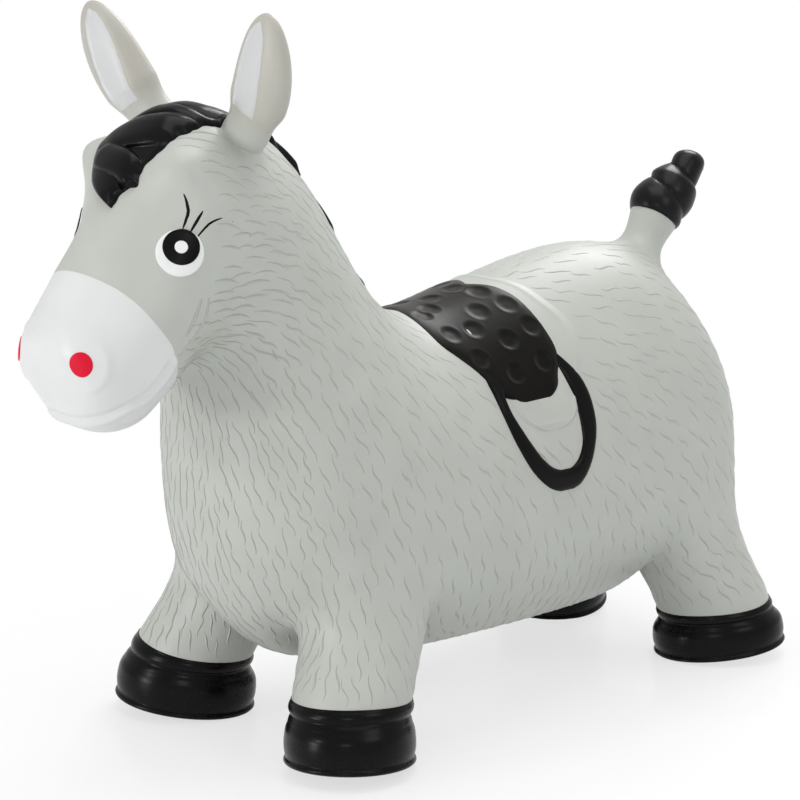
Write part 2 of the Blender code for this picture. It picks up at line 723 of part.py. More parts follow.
def cut_at_floor(mesh):
    """Take away what reaches below the floor and close the cut with a flat face."""
    bm = bmesh.new()
    bm.from_mesh(mesh)
    parts = bm.verts[:] + bm.edges[:] + bm.faces[:]
    cut = bmesh.ops.bisect_plane(bm, geom=parts, plane_co=(0.0, 0.0, 0.0),
                                 plane_no=(0.0, 0.0, -1.0), clear_outer=True)
    rim = [part for part in cut["geom_cut"] if isinstance(part, bmesh.types.BMEdge)]
    bmesh.ops.edgeloop_fill(bm, edges=rim)
    bm.to_mesh(mesh)
    bm.free()
    return mesh


def hoof_mesh(name, side, front):
    """A hoof: oval rings down its tilted axis, with two bands, a rim and a sole worn flat."""
    sole, top, _, _, out, across = leg_frame(side, front)
    points = []
    for drop, width in HOOF_SHARES:
        centre = top.lerp(sole, drop)
        for j in range(HOOF_SIDES):
            angle = 2.0 * math.pi * j / HOOF_SIDES
            point = centre + out * (HOOF_LENGTH / 2.0 * width * math.cos(angle))
            point += across * (HOOF_WIDTH / 2.0 * width * math.sin(angle))
            points.append(point)
    faces = []
    for i in range(len(HOOF_SHARES) - 1):
        for j in range(HOOF_SIDES):
            k = (j + 1) % HOOF_SIDES
            faces.append((i * HOOF_SIDES + j, i * HOOF_SIDES + k,
                          (i + 1) * HOOF_SIDES + k, (i + 1) * HOOF_SIDES + j))
    last = (len(HOOF_SHARES) - 1) * HOOF_SIDES
    faces.append(tuple(range(HOOF_SIDES)))
    faces.append(tuple(last + j for j in range(HOOF_SIDES)))
    return cut_at_floor(mesh_from(name, points, faces))


def tuft_mesh():
    """The tail's tuft: three locks twisted round its axis and drawn to a point."""
    root, axis = tail_frame()
    sideways = Vector((1.0, 0.0, 0.0))
    forward = sideways.cross(axis)
    base = root + axis * TAIL_STEM_LENGTH
    points = []
    for way, width in TUFT_SHARES:
        centre = base + axis * (TUFT_LENGTH * way) - forward * (TUFT_BEND * way * way)
        depth = TUFT_LOBE_SHARE * min(1.0, way / TUFT_ONSET_SHARE)
        for j in range(TUFT_SIDES):
            angle = 2.0 * math.pi * j / TUFT_SIDES
            lobe = 1.0 + depth * math.cos(TUFT_LOCKS * angle - TUFT_TWIST * way)
            radius = TUFT_WIDTH / 2.0 * width * lobe
            points.append(centre + forward * (radius * math.cos(angle))
                          + sideways * (radius * math.sin(angle)))
    faces = []
    for i in range(len(TUFT_SHARES) - 1):
        for j in range(TUFT_SIDES):
            k = (j + 1) % TUFT_SIDES
            faces.append((i * TUFT_SIDES + j, i * TUFT_SIDES + k,
                          (i + 1) * TUFT_SIDES + k, (i + 1) * TUFT_SIDES + j))
    last = (len(TUFT_SHARES) - 1) * TUFT_SIDES
    faces.append(tuple(range(TUFT_SIDES)))
    faces.append(tuple(last + j for j in range(TUFT_SIDES)))
    return mesh_from("tail_tuft", points, faces)


def turned(name, centre, profile):
    """A body of revolution about the upright axis through the centre, from radius and height."""
    bm = bmesh.new()
    points = [Vector((radius, 0.0, height)) + centre for radius, height in profile]
    verts = [bm.verts.new(point) for point in points]
    edges = [bm.edges.new(pair) for pair in zip(verts, verts[1:])]
    bmesh.ops.spin(bm, geom=verts + edges, cent=centre, axis=(0.0, 0.0, 1.0),
                   angle=2.0 * math.pi, steps=TURNED_STEPS, use_merge=True)
    bmesh.ops.remove_doubles(bm, verts=bm.verts, dist=WELD)
    mesh = bpy.data.meshes.new(name)
    bm.to_mesh(mesh)
    bm.free()
    return mesh


def add_cutter(name, mesh, root, *pieces):
    """A hidden solid that is taken away from the pieces."""
    cutter = add_piece(name, mesh, "black", root)
    cutter.hide_render = True
    cutter.display_type = "WIRE"
    cutter.hide_set(True)
    for piece in pieces:
        cut = piece.modifiers.new(name, "BOOLEAN")
        cut.operation = "DIFFERENCE"
        cut.solver = "EXACT"
        cut.object = cutter


def saddlery(tree, root):
    """The saddle and the two stirrup bands, which end at its edge."""
    add_piece("saddle", saddle_slab("saddle", tree), "black", root)
    stirrups = [add_piece(f"stirrup_{name}", stirrup_slab(f"stirrup_{name}", tree, side),
                          "black", root) for name, side in SIDES.items()]
    edge = saddle_slab("saddle_edge_cutter", tree, SADDLE_EDGE_GAP, -SADDLE_THICKNESS,
                       3.0 * SADDLE_THICKNESS)
    add_cutter("saddle_edge_cutter", edge, root, *stirrups)


def valve_pieces(tree, torso, root):
    """The valve port, let into a pocket in the belly, and the plug pushed up into it."""
    along = VALVE_PLACE_SHARE * BODY_LENGTH
    belly, _ = outer_hit(tree, trunk_ray(0.0, along)[0], Vector((0.0, 0.0, -1.0)))
    face = Vector((0.0, along, belly.z - PORT_PROUD))
    recess = PLUG_HEAD_HEIGHT + GAP
    port = turned("valve_port", face, (
        (0.0, PORT_DEPTH), (PORT_RADIUS, PORT_DEPTH), (PORT_RADIUS, 0.0),
        (PLUG_HEAD_RADIUS + PLUG_CLEARANCE, 0.0),
        (PLUG_HEAD_RADIUS + PLUG_CLEARANCE, recess), (BORE_RADIUS, recess),
        (BORE_RADIUS, BORE_DEPTH), (0.0, BORE_DEPTH)))
    stem = BORE_RADIUS - PLUG_CLEARANCE
    plug = turned("valve_plug", face, (
        (0.0, 0.0), (PLUG_HEAD_RADIUS, 0.0), (PLUG_HEAD_RADIUS, PLUG_HEAD_HEIGHT),
        (stem, PLUG_HEAD_HEIGHT), (stem, PLUG_HEAD_HEIGHT + PLUG_STEM_LENGTH - stem / 2.0),
        (stem / 2.0, PLUG_HEAD_HEIGHT + PLUG_STEM_LENGTH),
        (0.0, PLUG_HEAD_HEIGHT + PLUG_STEM_LENGTH)))
    pocket = turned("valve_pocket_cutter", face, (
        (0.0, PORT_DEPTH + GAP), (PORT_RADIUS + GAP, PORT_DEPTH + GAP),
        (PORT_RADIUS + GAP, -PORT_DEPTH), (0.0, -PORT_DEPTH)))
    add_cutter("valve_pocket_cutter", pocket, root, torso)
    add_piece("valve_port", port, "grey", root)
    add_piece("valve_plug", plug, "plug", root)


def skin_pieces(skin, root):
    """Divide the skin into its pieces; the legs and the tail stem end on true planes."""
    pieces = {}
    planes = {}
    for name, side in SIDES.items():
        for end in ("front", "rear"):
            _, top, _, up, _, _ = leg_frame(side, end == "front")
            planes[f"leg_{end}_{name}"] = (top, up)
    base, axis = tail_frame()
    planes["tail_stem"] = (base + axis * TAIL_STEM_LENGTH, axis)
    for zone, name in enumerate(zone_names()[:-1]):
        mesh = cut_piece(name, skin, zone, planes.get(name))
        pieces[name] = add_piece(name, mesh, SKIN_FINISHES.get(name, "grey"), root)
    return pieces


def face_pieces(tree, root):
    """Eyes, each a white with an iris and a highlight laid on it, and the nostrils."""
    for name, side in SIDES.items():
        azimuth, rise = EYE_DIRECTION
        direction = Vector((side * math.sin(azimuth) * math.cos(rise),
                            -math.cos(azimuth) * math.cos(rise), math.sin(rise)))
        up = Vector((0.0, 0.0, 1.0))
        core = head_point(EYE_CORE_SHARES)
        white = disc_slab(f"eye_white_{name}", tree, core, direction, up, EYE_RADIUS,
                          PAINT_THICKNESS)
        iris = disc_slab(f"iris_{name}", surface_of(white), core + up * IRIS_RISE, direction, up,
                         IRIS_RADIUS, PAINT_THICKNESS)
        glint = disc_slab(f"highlight_{name}", surface_of(iris), core + up * IRIS_RISE,
                          direction, up, HIGHLIGHT_RADIUS, PAINT_THICKNESS,
                          SMALL_DISC_POINTS)
        add_piece(f"eye_white_{name}", white, "white", root)
        add_piece(f"iris_{name}", iris, "black", root)
        add_piece(f"highlight_{name}", glint, "white", root)
        direction = Vector((side * math.sin(NOSTRIL_AZIMUTH), -math.cos(NOSTRIL_AZIMUTH), 0.0))
        add_piece(f"nostril_{name}", disc_slab(
            f"nostril_{name}", tree, head_point(NOSTRIL_CORE_SHARES), direction, up,
            NOSTRIL_RADIUS, PAINT_THICKNESS, SMALL_DISC_POINTS), "red", root)


def main():
    """Build the donkey, then centre it on the origin."""
    for existing in list(bpy.data.objects):
        bpy.data.objects.remove(existing)
    make_finishes()
    root = bpy.data.objects.new("donkey", None)
    bpy.context.scene.collection.objects.link(root)
    skin = smooth_skin()
    tree = surface_of(skin)
    pieces = skin_pieces(skin, root)
    face_pieces(tree, root)
    saddlery(tree, root)
    add_piece("forelock", forelock_slab(tree), "black", root)
    add_piece("mane", mane_slab(tree), "black", root)
    add_piece("tail_tuft", tuft_mesh(), "black", root)
    for name, side in SIDES.items():
        ear = surface_of(pieces[f"ear_{name}"].data)
        add_piece(f"ear_lining_{name}", lining_slab(f"ear_lining_{name}", ear, side), "white",
                  root)
        for end in ("front", "rear"):
            hoof = hoof_mesh(f"hoof_{end}_{name}", side, end == "front")
            add_piece(f"hoof_{end}_{name}", hoof, "black", root)
    valve_pieces(tree, pieces["torso"], root)
    reach = [(root.matrix_world @ vert.co).y for piece in root.children
             if not piece.hide_render for vert in piece.data.vertices]
    root.location.y = -(min(reach) + max(reach)) / 2.0


if __name__ == "__main__":
    main()
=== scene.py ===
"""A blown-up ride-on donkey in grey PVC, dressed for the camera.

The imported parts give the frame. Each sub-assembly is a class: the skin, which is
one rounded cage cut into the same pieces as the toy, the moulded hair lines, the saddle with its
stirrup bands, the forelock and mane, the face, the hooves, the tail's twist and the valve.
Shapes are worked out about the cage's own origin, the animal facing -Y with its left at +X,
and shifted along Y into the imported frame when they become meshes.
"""
from __future__ import annotations

import logging
import math
from dataclasses import dataclass, field
from enum import Enum
from typing import Callable

import bmesh
import bpy
import numpy as np
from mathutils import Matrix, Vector
from mathutils.bvhtree import BVHTree

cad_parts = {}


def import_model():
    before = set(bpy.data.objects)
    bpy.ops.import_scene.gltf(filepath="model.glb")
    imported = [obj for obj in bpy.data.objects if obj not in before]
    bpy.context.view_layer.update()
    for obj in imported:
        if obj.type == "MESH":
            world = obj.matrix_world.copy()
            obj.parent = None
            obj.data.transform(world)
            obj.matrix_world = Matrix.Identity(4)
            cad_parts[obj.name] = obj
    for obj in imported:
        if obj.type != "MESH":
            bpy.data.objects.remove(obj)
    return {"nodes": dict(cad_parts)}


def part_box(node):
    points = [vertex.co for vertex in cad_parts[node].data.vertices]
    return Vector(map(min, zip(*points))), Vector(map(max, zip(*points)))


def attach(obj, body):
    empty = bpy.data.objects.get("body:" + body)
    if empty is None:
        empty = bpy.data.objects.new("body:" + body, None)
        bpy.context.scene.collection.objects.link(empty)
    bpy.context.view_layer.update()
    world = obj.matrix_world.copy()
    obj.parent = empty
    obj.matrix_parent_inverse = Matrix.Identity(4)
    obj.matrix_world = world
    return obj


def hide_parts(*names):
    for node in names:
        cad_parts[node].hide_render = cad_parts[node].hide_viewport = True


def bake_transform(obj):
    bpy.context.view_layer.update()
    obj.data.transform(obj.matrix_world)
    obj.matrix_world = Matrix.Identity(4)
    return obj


LOG = logging.getLogger("donkey")
Array = np.ndarray
Pair = tuple[float, float]
Triple = tuple[float, float, float]
Mesh = bpy.types.Mesh
Socket = bpy.types.NodeSocket
Items = bpy.types.bpy_prop_collection
BODY = "inflated_body"
# Each side's name and its sign in x
SIDES = {"left": 1.0, "right": -1.0}
UP = np.array((0.0, 0.0, 1.0))
RIGHT = np.array((1.0, 0.0, 0.0))
AHEAD = np.array((0.0, -1.0, 0.0))
FULL_TURN = 2.0 * math.pi
WHITE = (1.0, 1.0, 1.0, 1.0)


# Small sums on whole arrays


def unit(vectors: Array) -> Array:
    """Vectors divided by their lengths along the last axis."""
    return vectors / np.maximum(np.linalg.norm(vectors, axis=-1, keepdims=True), 1e-12)


def ease(values: Array, start: float, end: float) -> Array:
    """Smooth step: 0 before start, 1 after end, 3t^2 - 2t^3 between, with t the way there."""
    way = np.clip((values - start) / (end - start), 0.0, 1.0)
    return way * way * (3.0 - 2.0 * way)


def bell(values: Array, middle: float, width: float) -> Array:
    """Bell curve exp(-((v - middle) / width)^2)."""
    return np.exp(-(((values - middle) / width) ** 2))


def resample(points: Array, count: int) -> Array:
    """A smooth line through points, at equal steps of its length.

    The line is Catmull-Rom: between points b and c, with a before and d after,
    p(t) = (2b + (c - a)t + (2a - 5b + 4c - d)t^2 + (3b - a - 3c + d)t^3) / 2.

    Args:
        points: The n points, of any number of coordinates.
        count: How many points to return.

    Returns:
        The count points along the line.
    """
    points = np.asarray(points, float)
    a = np.vstack((2.0 * points[0] - points[1], points[:-2], points[-2:-1]))[: len(points) - 1]
    b, c = points[:-1], points[1:]
    d = np.vstack((points[2:], 2.0 * points[-1] - points[-2]))
    t = np.linspace(0.0, 1.0, 16, endpoint=False)[:, None, None]
    line = (2 * b + (c - a) * t + (2 * a - 5 * b + 4 * c - d) * t**2
            + (3 * b - a - 3 * c + d) * t**3) / 2.0
    line = np.vstack((line.transpose(1, 0, 2).reshape(-1, points.shape[1]), points[-1]))
    length = np.concatenate(((0.0,), np.cumsum(np.linalg.norm(np.diff(line, axis=0), axis=1))))
    places = np.linspace(0.0, length[-1], count)
    return np.stack([np.interp(places, length, line[:, k]) for k in range(points.shape[1])], -1)


def line_field(points: Array, normals: Array, line: Array) -> tuple[Array, Array, Array]:
    """Where surface points lie beside a line drawn on the surface.

    For the nearest point q of the line, of direction t: distance |p - q|, side the sign of
    (p - q) . (n x t), and way the share of the line's points passed at q.

    Args:
        points: The n surface points.
        normals: Their n normals.
        line: The m points of the line.

    Returns:
        Distance, side and way, n numbers each.
    """
    start, step = line[:-1], np.diff(line, axis=0)
    best = np.full(len(points), np.inf)
    side, way = np.zeros(len(points)), np.zeros(len(points))
    for i in range(len(start)):
        share = np.clip((points - start[i]) @ step[i] / (step[i] @ step[i]), 0.0, 1.0)
        offset = points - start[i] - share[:, None] * step[i]
        distance = np.linalg.norm(offset, axis=1)
        nearer = distance < best
        across = np.cross(normals, step[i])
        best = np.where(nearer, distance, best)
        side = np.where(nearer, np.sign(np.sum(offset * across, axis=1)), side)
        way = np.where(nearer, (i + share) / len(start), way)
    return best, side, way


def look_up(table: tuple, places: Array) -> Array:
    """A table's second column at places in its first, straight between its rows."""
    return np.interp(places, *np.array(table).T)


def span(low: Array | float, high: Array | float, share: Array) -> Array:
    """Values between two edges: their middle plus half their gap times a share, -1 to 1."""
    return (low + high) / 2.0 + (high - low) / 2.0 * share


def sided(pair: Pair, side: float) -> float:
    """The left or the right one of two values, by the side's sign."""
    return pair[0] if side > 0.0 else pair[1]


def angles(count: int, start: float = 0.0) -> Array:
    """Equal steps of a full turn, from a starting angle."""
    return FULL_TURN * np.arange(count) / count + start


def rounding(count: int) -> float:
    """How far out n control points lie to round off to a ring: 3 / (2 + cos(2 pi / n))."""
    return 3.0 / (2.0 + math.cos(FULL_TURN / count))


def heading(turn: float, rise: float = 0.0) -> Array:
    """Unit direction turned from straight ahead towards the left, and upwards."""
    level = math.cos(rise)
    return np.array((math.sin(turn) * level, -math.cos(turn) * level, math.sin(rise)))


def vectors(x: Array | float, y: Array | float, z: Array | float) -> Array:
    """Rows of three coordinates, from arrays or numbers that share a shape."""
    return np.stack(np.broadcast_arrays(x, y, z), -1)


def gather(index: Array, rows: Array, count: int) -> Array:
    """Sums of the rows of three that share an index, for count indices."""
    return np.stack([np.bincount(index, column, count) for column in rows.T], -1)


# Meshes and pieces


def grid_faces(rows: int, columns: int, wrap: bool = False, start: int = 0) -> Array:
    """Quads of a grid of points, row after row.

    Args:
        rows: How many rows of points.
        columns: How many points in a row.
        wrap: Whether the last column joins the first.
        start: The first point's index.

    Returns:
        Four indices for each quad.
    """
    index = np.arange(rows * columns).reshape(rows, columns) + start
    if wrap:
        index = np.hstack((index, index[:, :1]))
    return np.stack((index[:-1, :-1], index[:-1, 1:], index[1:, 1:], index[1:, :-1]),
                    -1).reshape(-1, 4)


def make_mesh(name: str, points: Array, faces: list | Array, shift: float) -> Mesh:
    """A smooth-shaded mesh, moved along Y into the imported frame.

    Args:
        name: The mesh's name.
        points: Its n points.
        faces: Its faces, as lists or rows of indices.
        shift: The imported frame's place along Y.

    Returns:
        The mesh.
    """
    mesh = bpy.data.meshes.new(name)
    moved = np.asarray(points, float) + np.array((0.0, shift, 0.0))
    mesh.from_pydata(moved.tolist(), [], faces.tolist() if isinstance(faces, Array) else faces)
    mesh.shade_smooth()
    return mesh


def slab_faces(rows: int, columns: int) -> list[list[int]]:
    """Faces of a closed slab whose top grid comes first and whose bottom grid follows.

    Args:
        rows: How many rows of points a grid has.
        columns: How many points in a row.

    Returns:
        The faces' indices.
    """
    count = rows * columns
    top = grid_faces(rows, columns)
    bottom = grid_faces(rows, columns, start=count)[:, ::-1]
    index = np.arange(count).reshape(rows, columns)
    rim = np.concatenate((index[0, :-1], index[:-1, -1], index[-1, :0:-1], index[:0:-1, 0]))
    after = np.roll(rim, -1)
    walls = np.stack((after, rim, rim + count, after + count), -1)
    return np.vstack((top, bottom, walls)).tolist()


def turned_faces(rows: int, columns: int) -> list[list[int]]:
    """Faces of a closed form of rings, whose two poles are the last two points.

    Args:
        rows: How many rings.
        columns: How many points in a ring.

    Returns:
        The faces' indices.
    """
    sides = grid_faces(rows, columns, wrap=True).tolist()
    first = rows * columns
    ring = np.arange(columns)
    after = np.roll(ring, -1)
    start = np.stack((after, ring, np.full(columns, first)), -1)
    last = (rows - 1) * columns
    end = np.stack((ring + last, after + last, np.full(columns, first + 1)), -1)
    return sides + start.tolist() + end.tolist()


def read(items: Items, name: str, width: int = 1,
         kind: type = float) -> Array:
    """One property of all of a mesh's points, corners or faces.

    Args:
        items: The points, corners or faces.
        name: The property.
        width: How many numbers it has.
        kind: Their type.

    Returns:
        The numbers, in rows where the property has more than one.
    """
    values = np.empty(len(items) * width, kind)
    items.foreach_get(name, values)
    return values.reshape(-1, width) if width > 1 else values


def outward(mesh: Mesh) -> None:
    """Turn a closed mesh's faces out where its volume, the sum of p . n A / 3, is negative.

    Args:
        mesh: The mesh.
    """
    spokes = read(mesh.polygons, "center", 3) - read(mesh.vertices, "co", 3).mean(axis=0)
    shares = np.sum(spokes * read(mesh.polygons, "normal", 3), axis=1)
    if np.sum(shares * read(mesh.polygons, "area")) < 0.0:
        mesh.flip_normals()


def new_object(name: str, data: bpy.types.ID) -> bpy.types.Object:
    """An object that shows a mesh, lamp or camera in the scene.

    Args:
        name: The object's name.
        data: What it shows.

    Returns:
        The object.
    """
    thing = bpy.data.objects.new(name, data)
    bpy.context.scene.collection.objects.link(thing)
    return thing


def place_piece(mesh: Mesh, finish: Finish, stands_for: tuple[str, ...] = (),
                body: str = BODY, closed: bool = True) -> bpy.types.Object:
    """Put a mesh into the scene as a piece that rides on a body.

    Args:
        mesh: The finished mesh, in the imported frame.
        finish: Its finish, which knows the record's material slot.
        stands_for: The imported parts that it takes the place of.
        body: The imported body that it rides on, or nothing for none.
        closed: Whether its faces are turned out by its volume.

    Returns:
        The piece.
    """
    if closed:
        outward(mesh)
    mesh.materials.clear()
    mesh.materials.append(finish.material())
    piece = new_object(mesh.name, mesh)
    if body:
        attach(piece, body)
    if stands_for:
        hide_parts(*stands_for)
    LOG.info("%s: %d faces", piece.name, len(mesh.polygons))
    return piece


# Finishes


@dataclass(frozen=True)
class Graph:
    """A node tree whose new nodes take their settings, values and links in one call."""

    tree: bpy.types.NodeTree

    def feed(self, node: bpy.types.Node, values: dict) -> None:
        """Set a node's inputs.

        Args:
            node: The node.
            values: For each input, its value or the output that feeds it.
        """
        for name, value in values.items():
            if isinstance(value, Socket):
                self.tree.links.new(value, node.inputs[name])
            else:
                node.inputs[name].default_value = value

    def add(self, kind: str, values: dict | None = None, **settings: object) -> bpy.types.Node:
        """Add a shader node.

        Args:
            kind: Its type, without the words before it.
            values: For each input, its value or the output that feeds it.
            settings: The node's own settings.

        Returns:
            The node.
        """
        node = self.tree.nodes.new(f"ShaderNode{kind}")
        for name, value in settings.items():
            setattr(node, name, value)
        self.feed(node, values or {})
        return node


class Grain(Enum):
    """Which noise a finish's roughness follows."""

    SKIN = "Mottle"
    PAINT = "Grain"


def relief_group() -> bpy.types.NodeTree:
    """Shader group for moulded plastic: broad mottle, fine grain and rare specks.

    Mottle is fractal noise at Scale / 14, grain is noise at Scale, height is three times the
    mottle plus the grain, and a speck is a Voronoi cell's middle that is nearer than Specks.

    Returns:
        The group, with inputs Scale and Specks and outputs Mottle, Grain, Height and Speck.
    """
    name = "moulded_relief"
    if name in bpy.data.node_groups:
        return bpy.data.node_groups[name]
    mottle_size, mottle_height, speck_scale = 14.0, 3.0, 34.0
    group = bpy.data.node_groups.new(name, "ShaderNodeTree")
    for end, labels in (("INPUT", ("Scale", "Specks")),
                        ("OUTPUT", ("Mottle", "Grain", "Height", "Speck"))):
        for label in labels:
            group.interface.new_socket(name=label, in_out=end, socket_type="NodeSocketFloat")
    graph = Graph(group)
    enter = group.nodes.new("NodeGroupInput").outputs
    place = graph.add("TexCoord").outputs["Object"]
    coarse = graph.add("Math", {0: enter["Scale"], 1: mottle_size}, operation="DIVIDE")
    mottle = graph.add("TexNoise", {"Vector": place, "Scale": coarse.outputs[0], "Detail": 3.0})
    grain = graph.add("TexNoise", {"Vector": place, "Scale": enter["Scale"], "Detail": 4.0,
                                   "Roughness": 0.6})
    cells = graph.add("TexVoronoi", {"Vector": place, "Scale": speck_scale})
    speck = graph.add("Math", {0: cells.outputs["Distance"], 1: enter["Specks"]},
                      operation="LESS_THAN")
    height = graph.add("Math", {0: mottle.outputs["Fac"], 1: mottle_height,
                                2: grain.outputs["Fac"]}, operation="MULTIPLY_ADD")
    graph.feed(group.nodes.new("NodeGroupOutput"), {
        "Mottle": mottle.outputs["Fac"], "Grain": grain.outputs["Fac"],
        "Height": height.outputs[0], "Speck": speck.outputs[0]})
    return group


@dataclass(frozen=True)
class Finish:
    """One finish of the toy's skin or paint, with the record's slot that it belongs to.

    The colour is mixed between its dark and light tone by the mottle, and the roughness runs
    between its two ends by the mottle or the grain.
    """

    name: str
    slot: str
    dark: Triple
    light: Triple
    rough: Pair
    grain: Grain = Grain.SKIN
    scale: float = 420.0
    bump: float = 0.00002
    specular: float = 0.5
    sheen: float = 0.0
    specks: float = 0.0
    speck_colour: Triple = (0.08, 0.075, 0.07)

    def colour(self, graph: Graph, relief: Items) -> Socket:
        """Add the nodes of the base colour.

        Args:
            graph: The material's nodes.
            relief: The relief group's outputs.

        Returns:
            The output that holds the colour.
        """
        wear = graph.add("MapRange", {"Value": relief["Mottle"], "From Min": 0.25,
                                      "From Max": 0.75}).outputs["Result"]
        tone = self.mixed(graph, wear, (*self.dark, 1.0), (*self.light, 1.0))
        return self.mixed(graph, relief["Speck"], tone, (*self.speck_colour, 1.0))

    @staticmethod
    def mixed(graph: Graph, share: Socket, first: tuple | Socket,
              second: tuple | Socket) -> Socket:
        """The output of a node that mixes two colours by a share of the second."""
        values = {"Factor": share, "A": first, "B": second}
        return graph.add("Mix", values, data_type="RGBA").outputs["Result"]

    def material(self) -> bpy.types.Material:
        """The finish as a node material, made once.

        Returns:
            The material.
        """
        if self.name in bpy.data.materials:
            return bpy.data.materials[self.name]
        material = bpy.data.materials.new(self.name)
        material.use_nodes = True
        graph = Graph(material.node_tree)
        relief = graph.add("Group", {"Scale": self.scale, "Specks": self.specks},
                           node_tree=relief_group()).outputs
        gloss = graph.add("MapRange", {"Value": relief[self.grain.value],
                                       "To Min": self.rough[0], "To Max": self.rough[1]})
        bump = graph.add("Bump", {"Height": relief["Height"], "Distance": self.bump,
                                  "Strength": 0.6})
        graph.feed(graph.tree.nodes["Principled BSDF"], {
            "Base Color": self.colour(graph, relief), "Roughness": gloss.outputs["Result"],
            "Normal": bump.outputs["Normal"], "Specular IOR Level": self.specular,
            "Sheen Weight": self.sheen, "Sheen Roughness": 0.42,
            "Sheen Tint": (1.0, 0.93, 0.86, 1.0)})
        return material


@dataclass(frozen=True)
class EarFinish(Finish):
    """The ears' warmer grey, which takes over from the coat's by the attribute "warmth"."""

    coat: Triple = (0.467, 0.487, 0.448)

    def colour(self, graph: Graph, relief: Items) -> Socket:
        """The coat's plain tone at the ear's root, mixed towards the ear's own colour."""
        share = graph.add("Attribute", attribute_name="warmth").outputs["Fac"]
        return self.mixed(graph, share, (*self.coat, 1.0), super().colour(graph, relief))


@dataclass(frozen=True)
class PaintedShadeLineFinish(Finish):
    """A hair line whose colour, by "across", paints its light and shade: painted shade on one side, a
    lighter painted shade down the ridge, a painted highlight on the other side, and about the skin's
    own tone at both rims.
    """

    # Tones of the rims, near the skin's, and of the ridge, a painted shade darker than the skin
    first: Triple = (0.465, 0.485, 0.447)
    middle: Triple = (0.385, 0.402, 0.368)
    last: Triple = (0.475, 0.495, 0.456)

    def colour(self, graph: Graph, relief: Items) -> Socket:
        """Add the colour ramp of painted shade and painted highlight that follows the strands' own
        attribute.

        Args:
            graph: The material's nodes.
            relief: The relief group's outputs, which the colour leaves out.

        Returns:
            The output that holds the colour.
        """
        across = graph.add("Attribute", attribute_name="across").outputs["Fac"]
        ramp = graph.add("ValToRGB", {"Fac": across})
        stops = ramp.color_ramp.elements
        stops[0].color, stops[1].color = (*self.first, 1.0), (*self.last, 1.0)
        # Painted shade at 0.30, a lighter painted shade on the ridge at 0.55 and a painted highlight
        # at 0.80
        for place, colour in ((0.30, self.dark), (0.55, self.middle), (0.80, self.light)):
            stops.new(place).color = (*colour, 1.0)
        return ramp.outputs["Color"]


GREY_SKIN = Finish("grey_pvc_skin", "grey", (0.450, 0.469, 0.431), (0.484, 0.505, 0.465),
                   (0.40, 0.52), scale=460.0, bump=0.00003, specks=0.012)
EAR_SKIN = EarFinish("ear_to_coat", "grey", (0.425, 0.415, 0.368), (0.452, 0.441, 0.392),
                     (0.36, 0.48), scale=460.0, bump=0.00003)
# Hair lines: dark is a painted shade and light a painted highlight, standing in for the light on a
# moulded groove
HAIR_LINE_PAINTED_SHADE = PaintedShadeLineFinish("hair_line_painted_shade", "grey", (0.352, 0.369, 0.336),
                           (0.535, 0.553, 0.515), (0.45, 0.58), scale=600.0)
WHITE_PAINT = Finish("muzzle_white", "white", (0.655, 0.661, 0.662), (0.690, 0.697, 0.698),
                     (0.34, 0.46), scale=500.0, bump=0.00002)
EYE_WHITE = Finish("eye_white", "white", (0.76, 0.77, 0.77), (0.80, 0.81, 0.81),
                   (0.30, 0.38), Grain.PAINT, scale=900.0, bump=0.00001)
LINING_WHITE = Finish("ear_lining_white", "white", (0.560, 0.566, 0.570), (0.600, 0.606, 0.610),
                      (0.30, 0.42), scale=500.0, bump=0.00002)
BLACK_PAINT = Finish("satin_black_paint", "black", (0.0024, 0.0023, 0.0023),
                     (0.0042, 0.0040, 0.0039), (0.22, 0.32), Grain.PAINT, scale=300.0,
                     bump=0.00003, specular=0.12)
HAIR_BLACK = Finish("hair_black_paint", "black", (0.0036, 0.0030, 0.0032),
                    (0.0062, 0.0052, 0.0056), (0.20, 0.30), Grain.PAINT, scale=300.0,
                    bump=0.00002, specular=0.13)
SADDLE_BLACK = Finish("saddle_black_paint", "black", (0.0016, 0.0013, 0.0012),
                      (0.0034, 0.0028, 0.0025), (0.30, 0.40), Grain.PAINT, scale=300.0,
                      bump=0.00003, specular=0.08, sheen=0.18)
TWIST_BLACK = Finish("twist_black_paint", "black", (0.0044, 0.0042, 0.0043),
                     (0.0075, 0.0070, 0.0071), (0.26, 0.34), Grain.PAINT, scale=300.0,
                     bump=0.00002, specular=0.17)
PUPIL_BLACK = Finish("pupil_black", "black", (0.0035, 0.0032, 0.0033), (0.0070, 0.0064, 0.0067),
                     (0.24, 0.40), Grain.PAINT, scale=900.0, bump=0.00002, specular=0.09)
RED_PAINT = Finish("nostril_red", "red", (0.600, 0.003, 0.022), (0.680, 0.005, 0.030),
                   (0.38, 0.50), Grain.PAINT, scale=700.0, bump=0.00003, specular=0.16)
VALVE_PLASTIC = Finish("valve_soft_plastic", "plug", (0.56, 0.56, 0.54), (0.62, 0.62, 0.60),
                       (0.32, 0.44), Grain.PAINT, scale=800.0, bump=0.00002)


# The skin


class Zone(Enum):
    """The pieces that the skin is cut into, numbered as the cage's faces are."""

    TORSO = 0
    NECK = 1
    HEAD = 2
    MUZZLE = 3
    LEG_FRONT_LEFT = 4
    LEG_REAR_LEFT = 5
    EAR_LEFT = 6
    LEG_FRONT_RIGHT = 7
    LEG_REAR_RIGHT = 8
    EAR_RIGHT = 9
    TAIL = 10


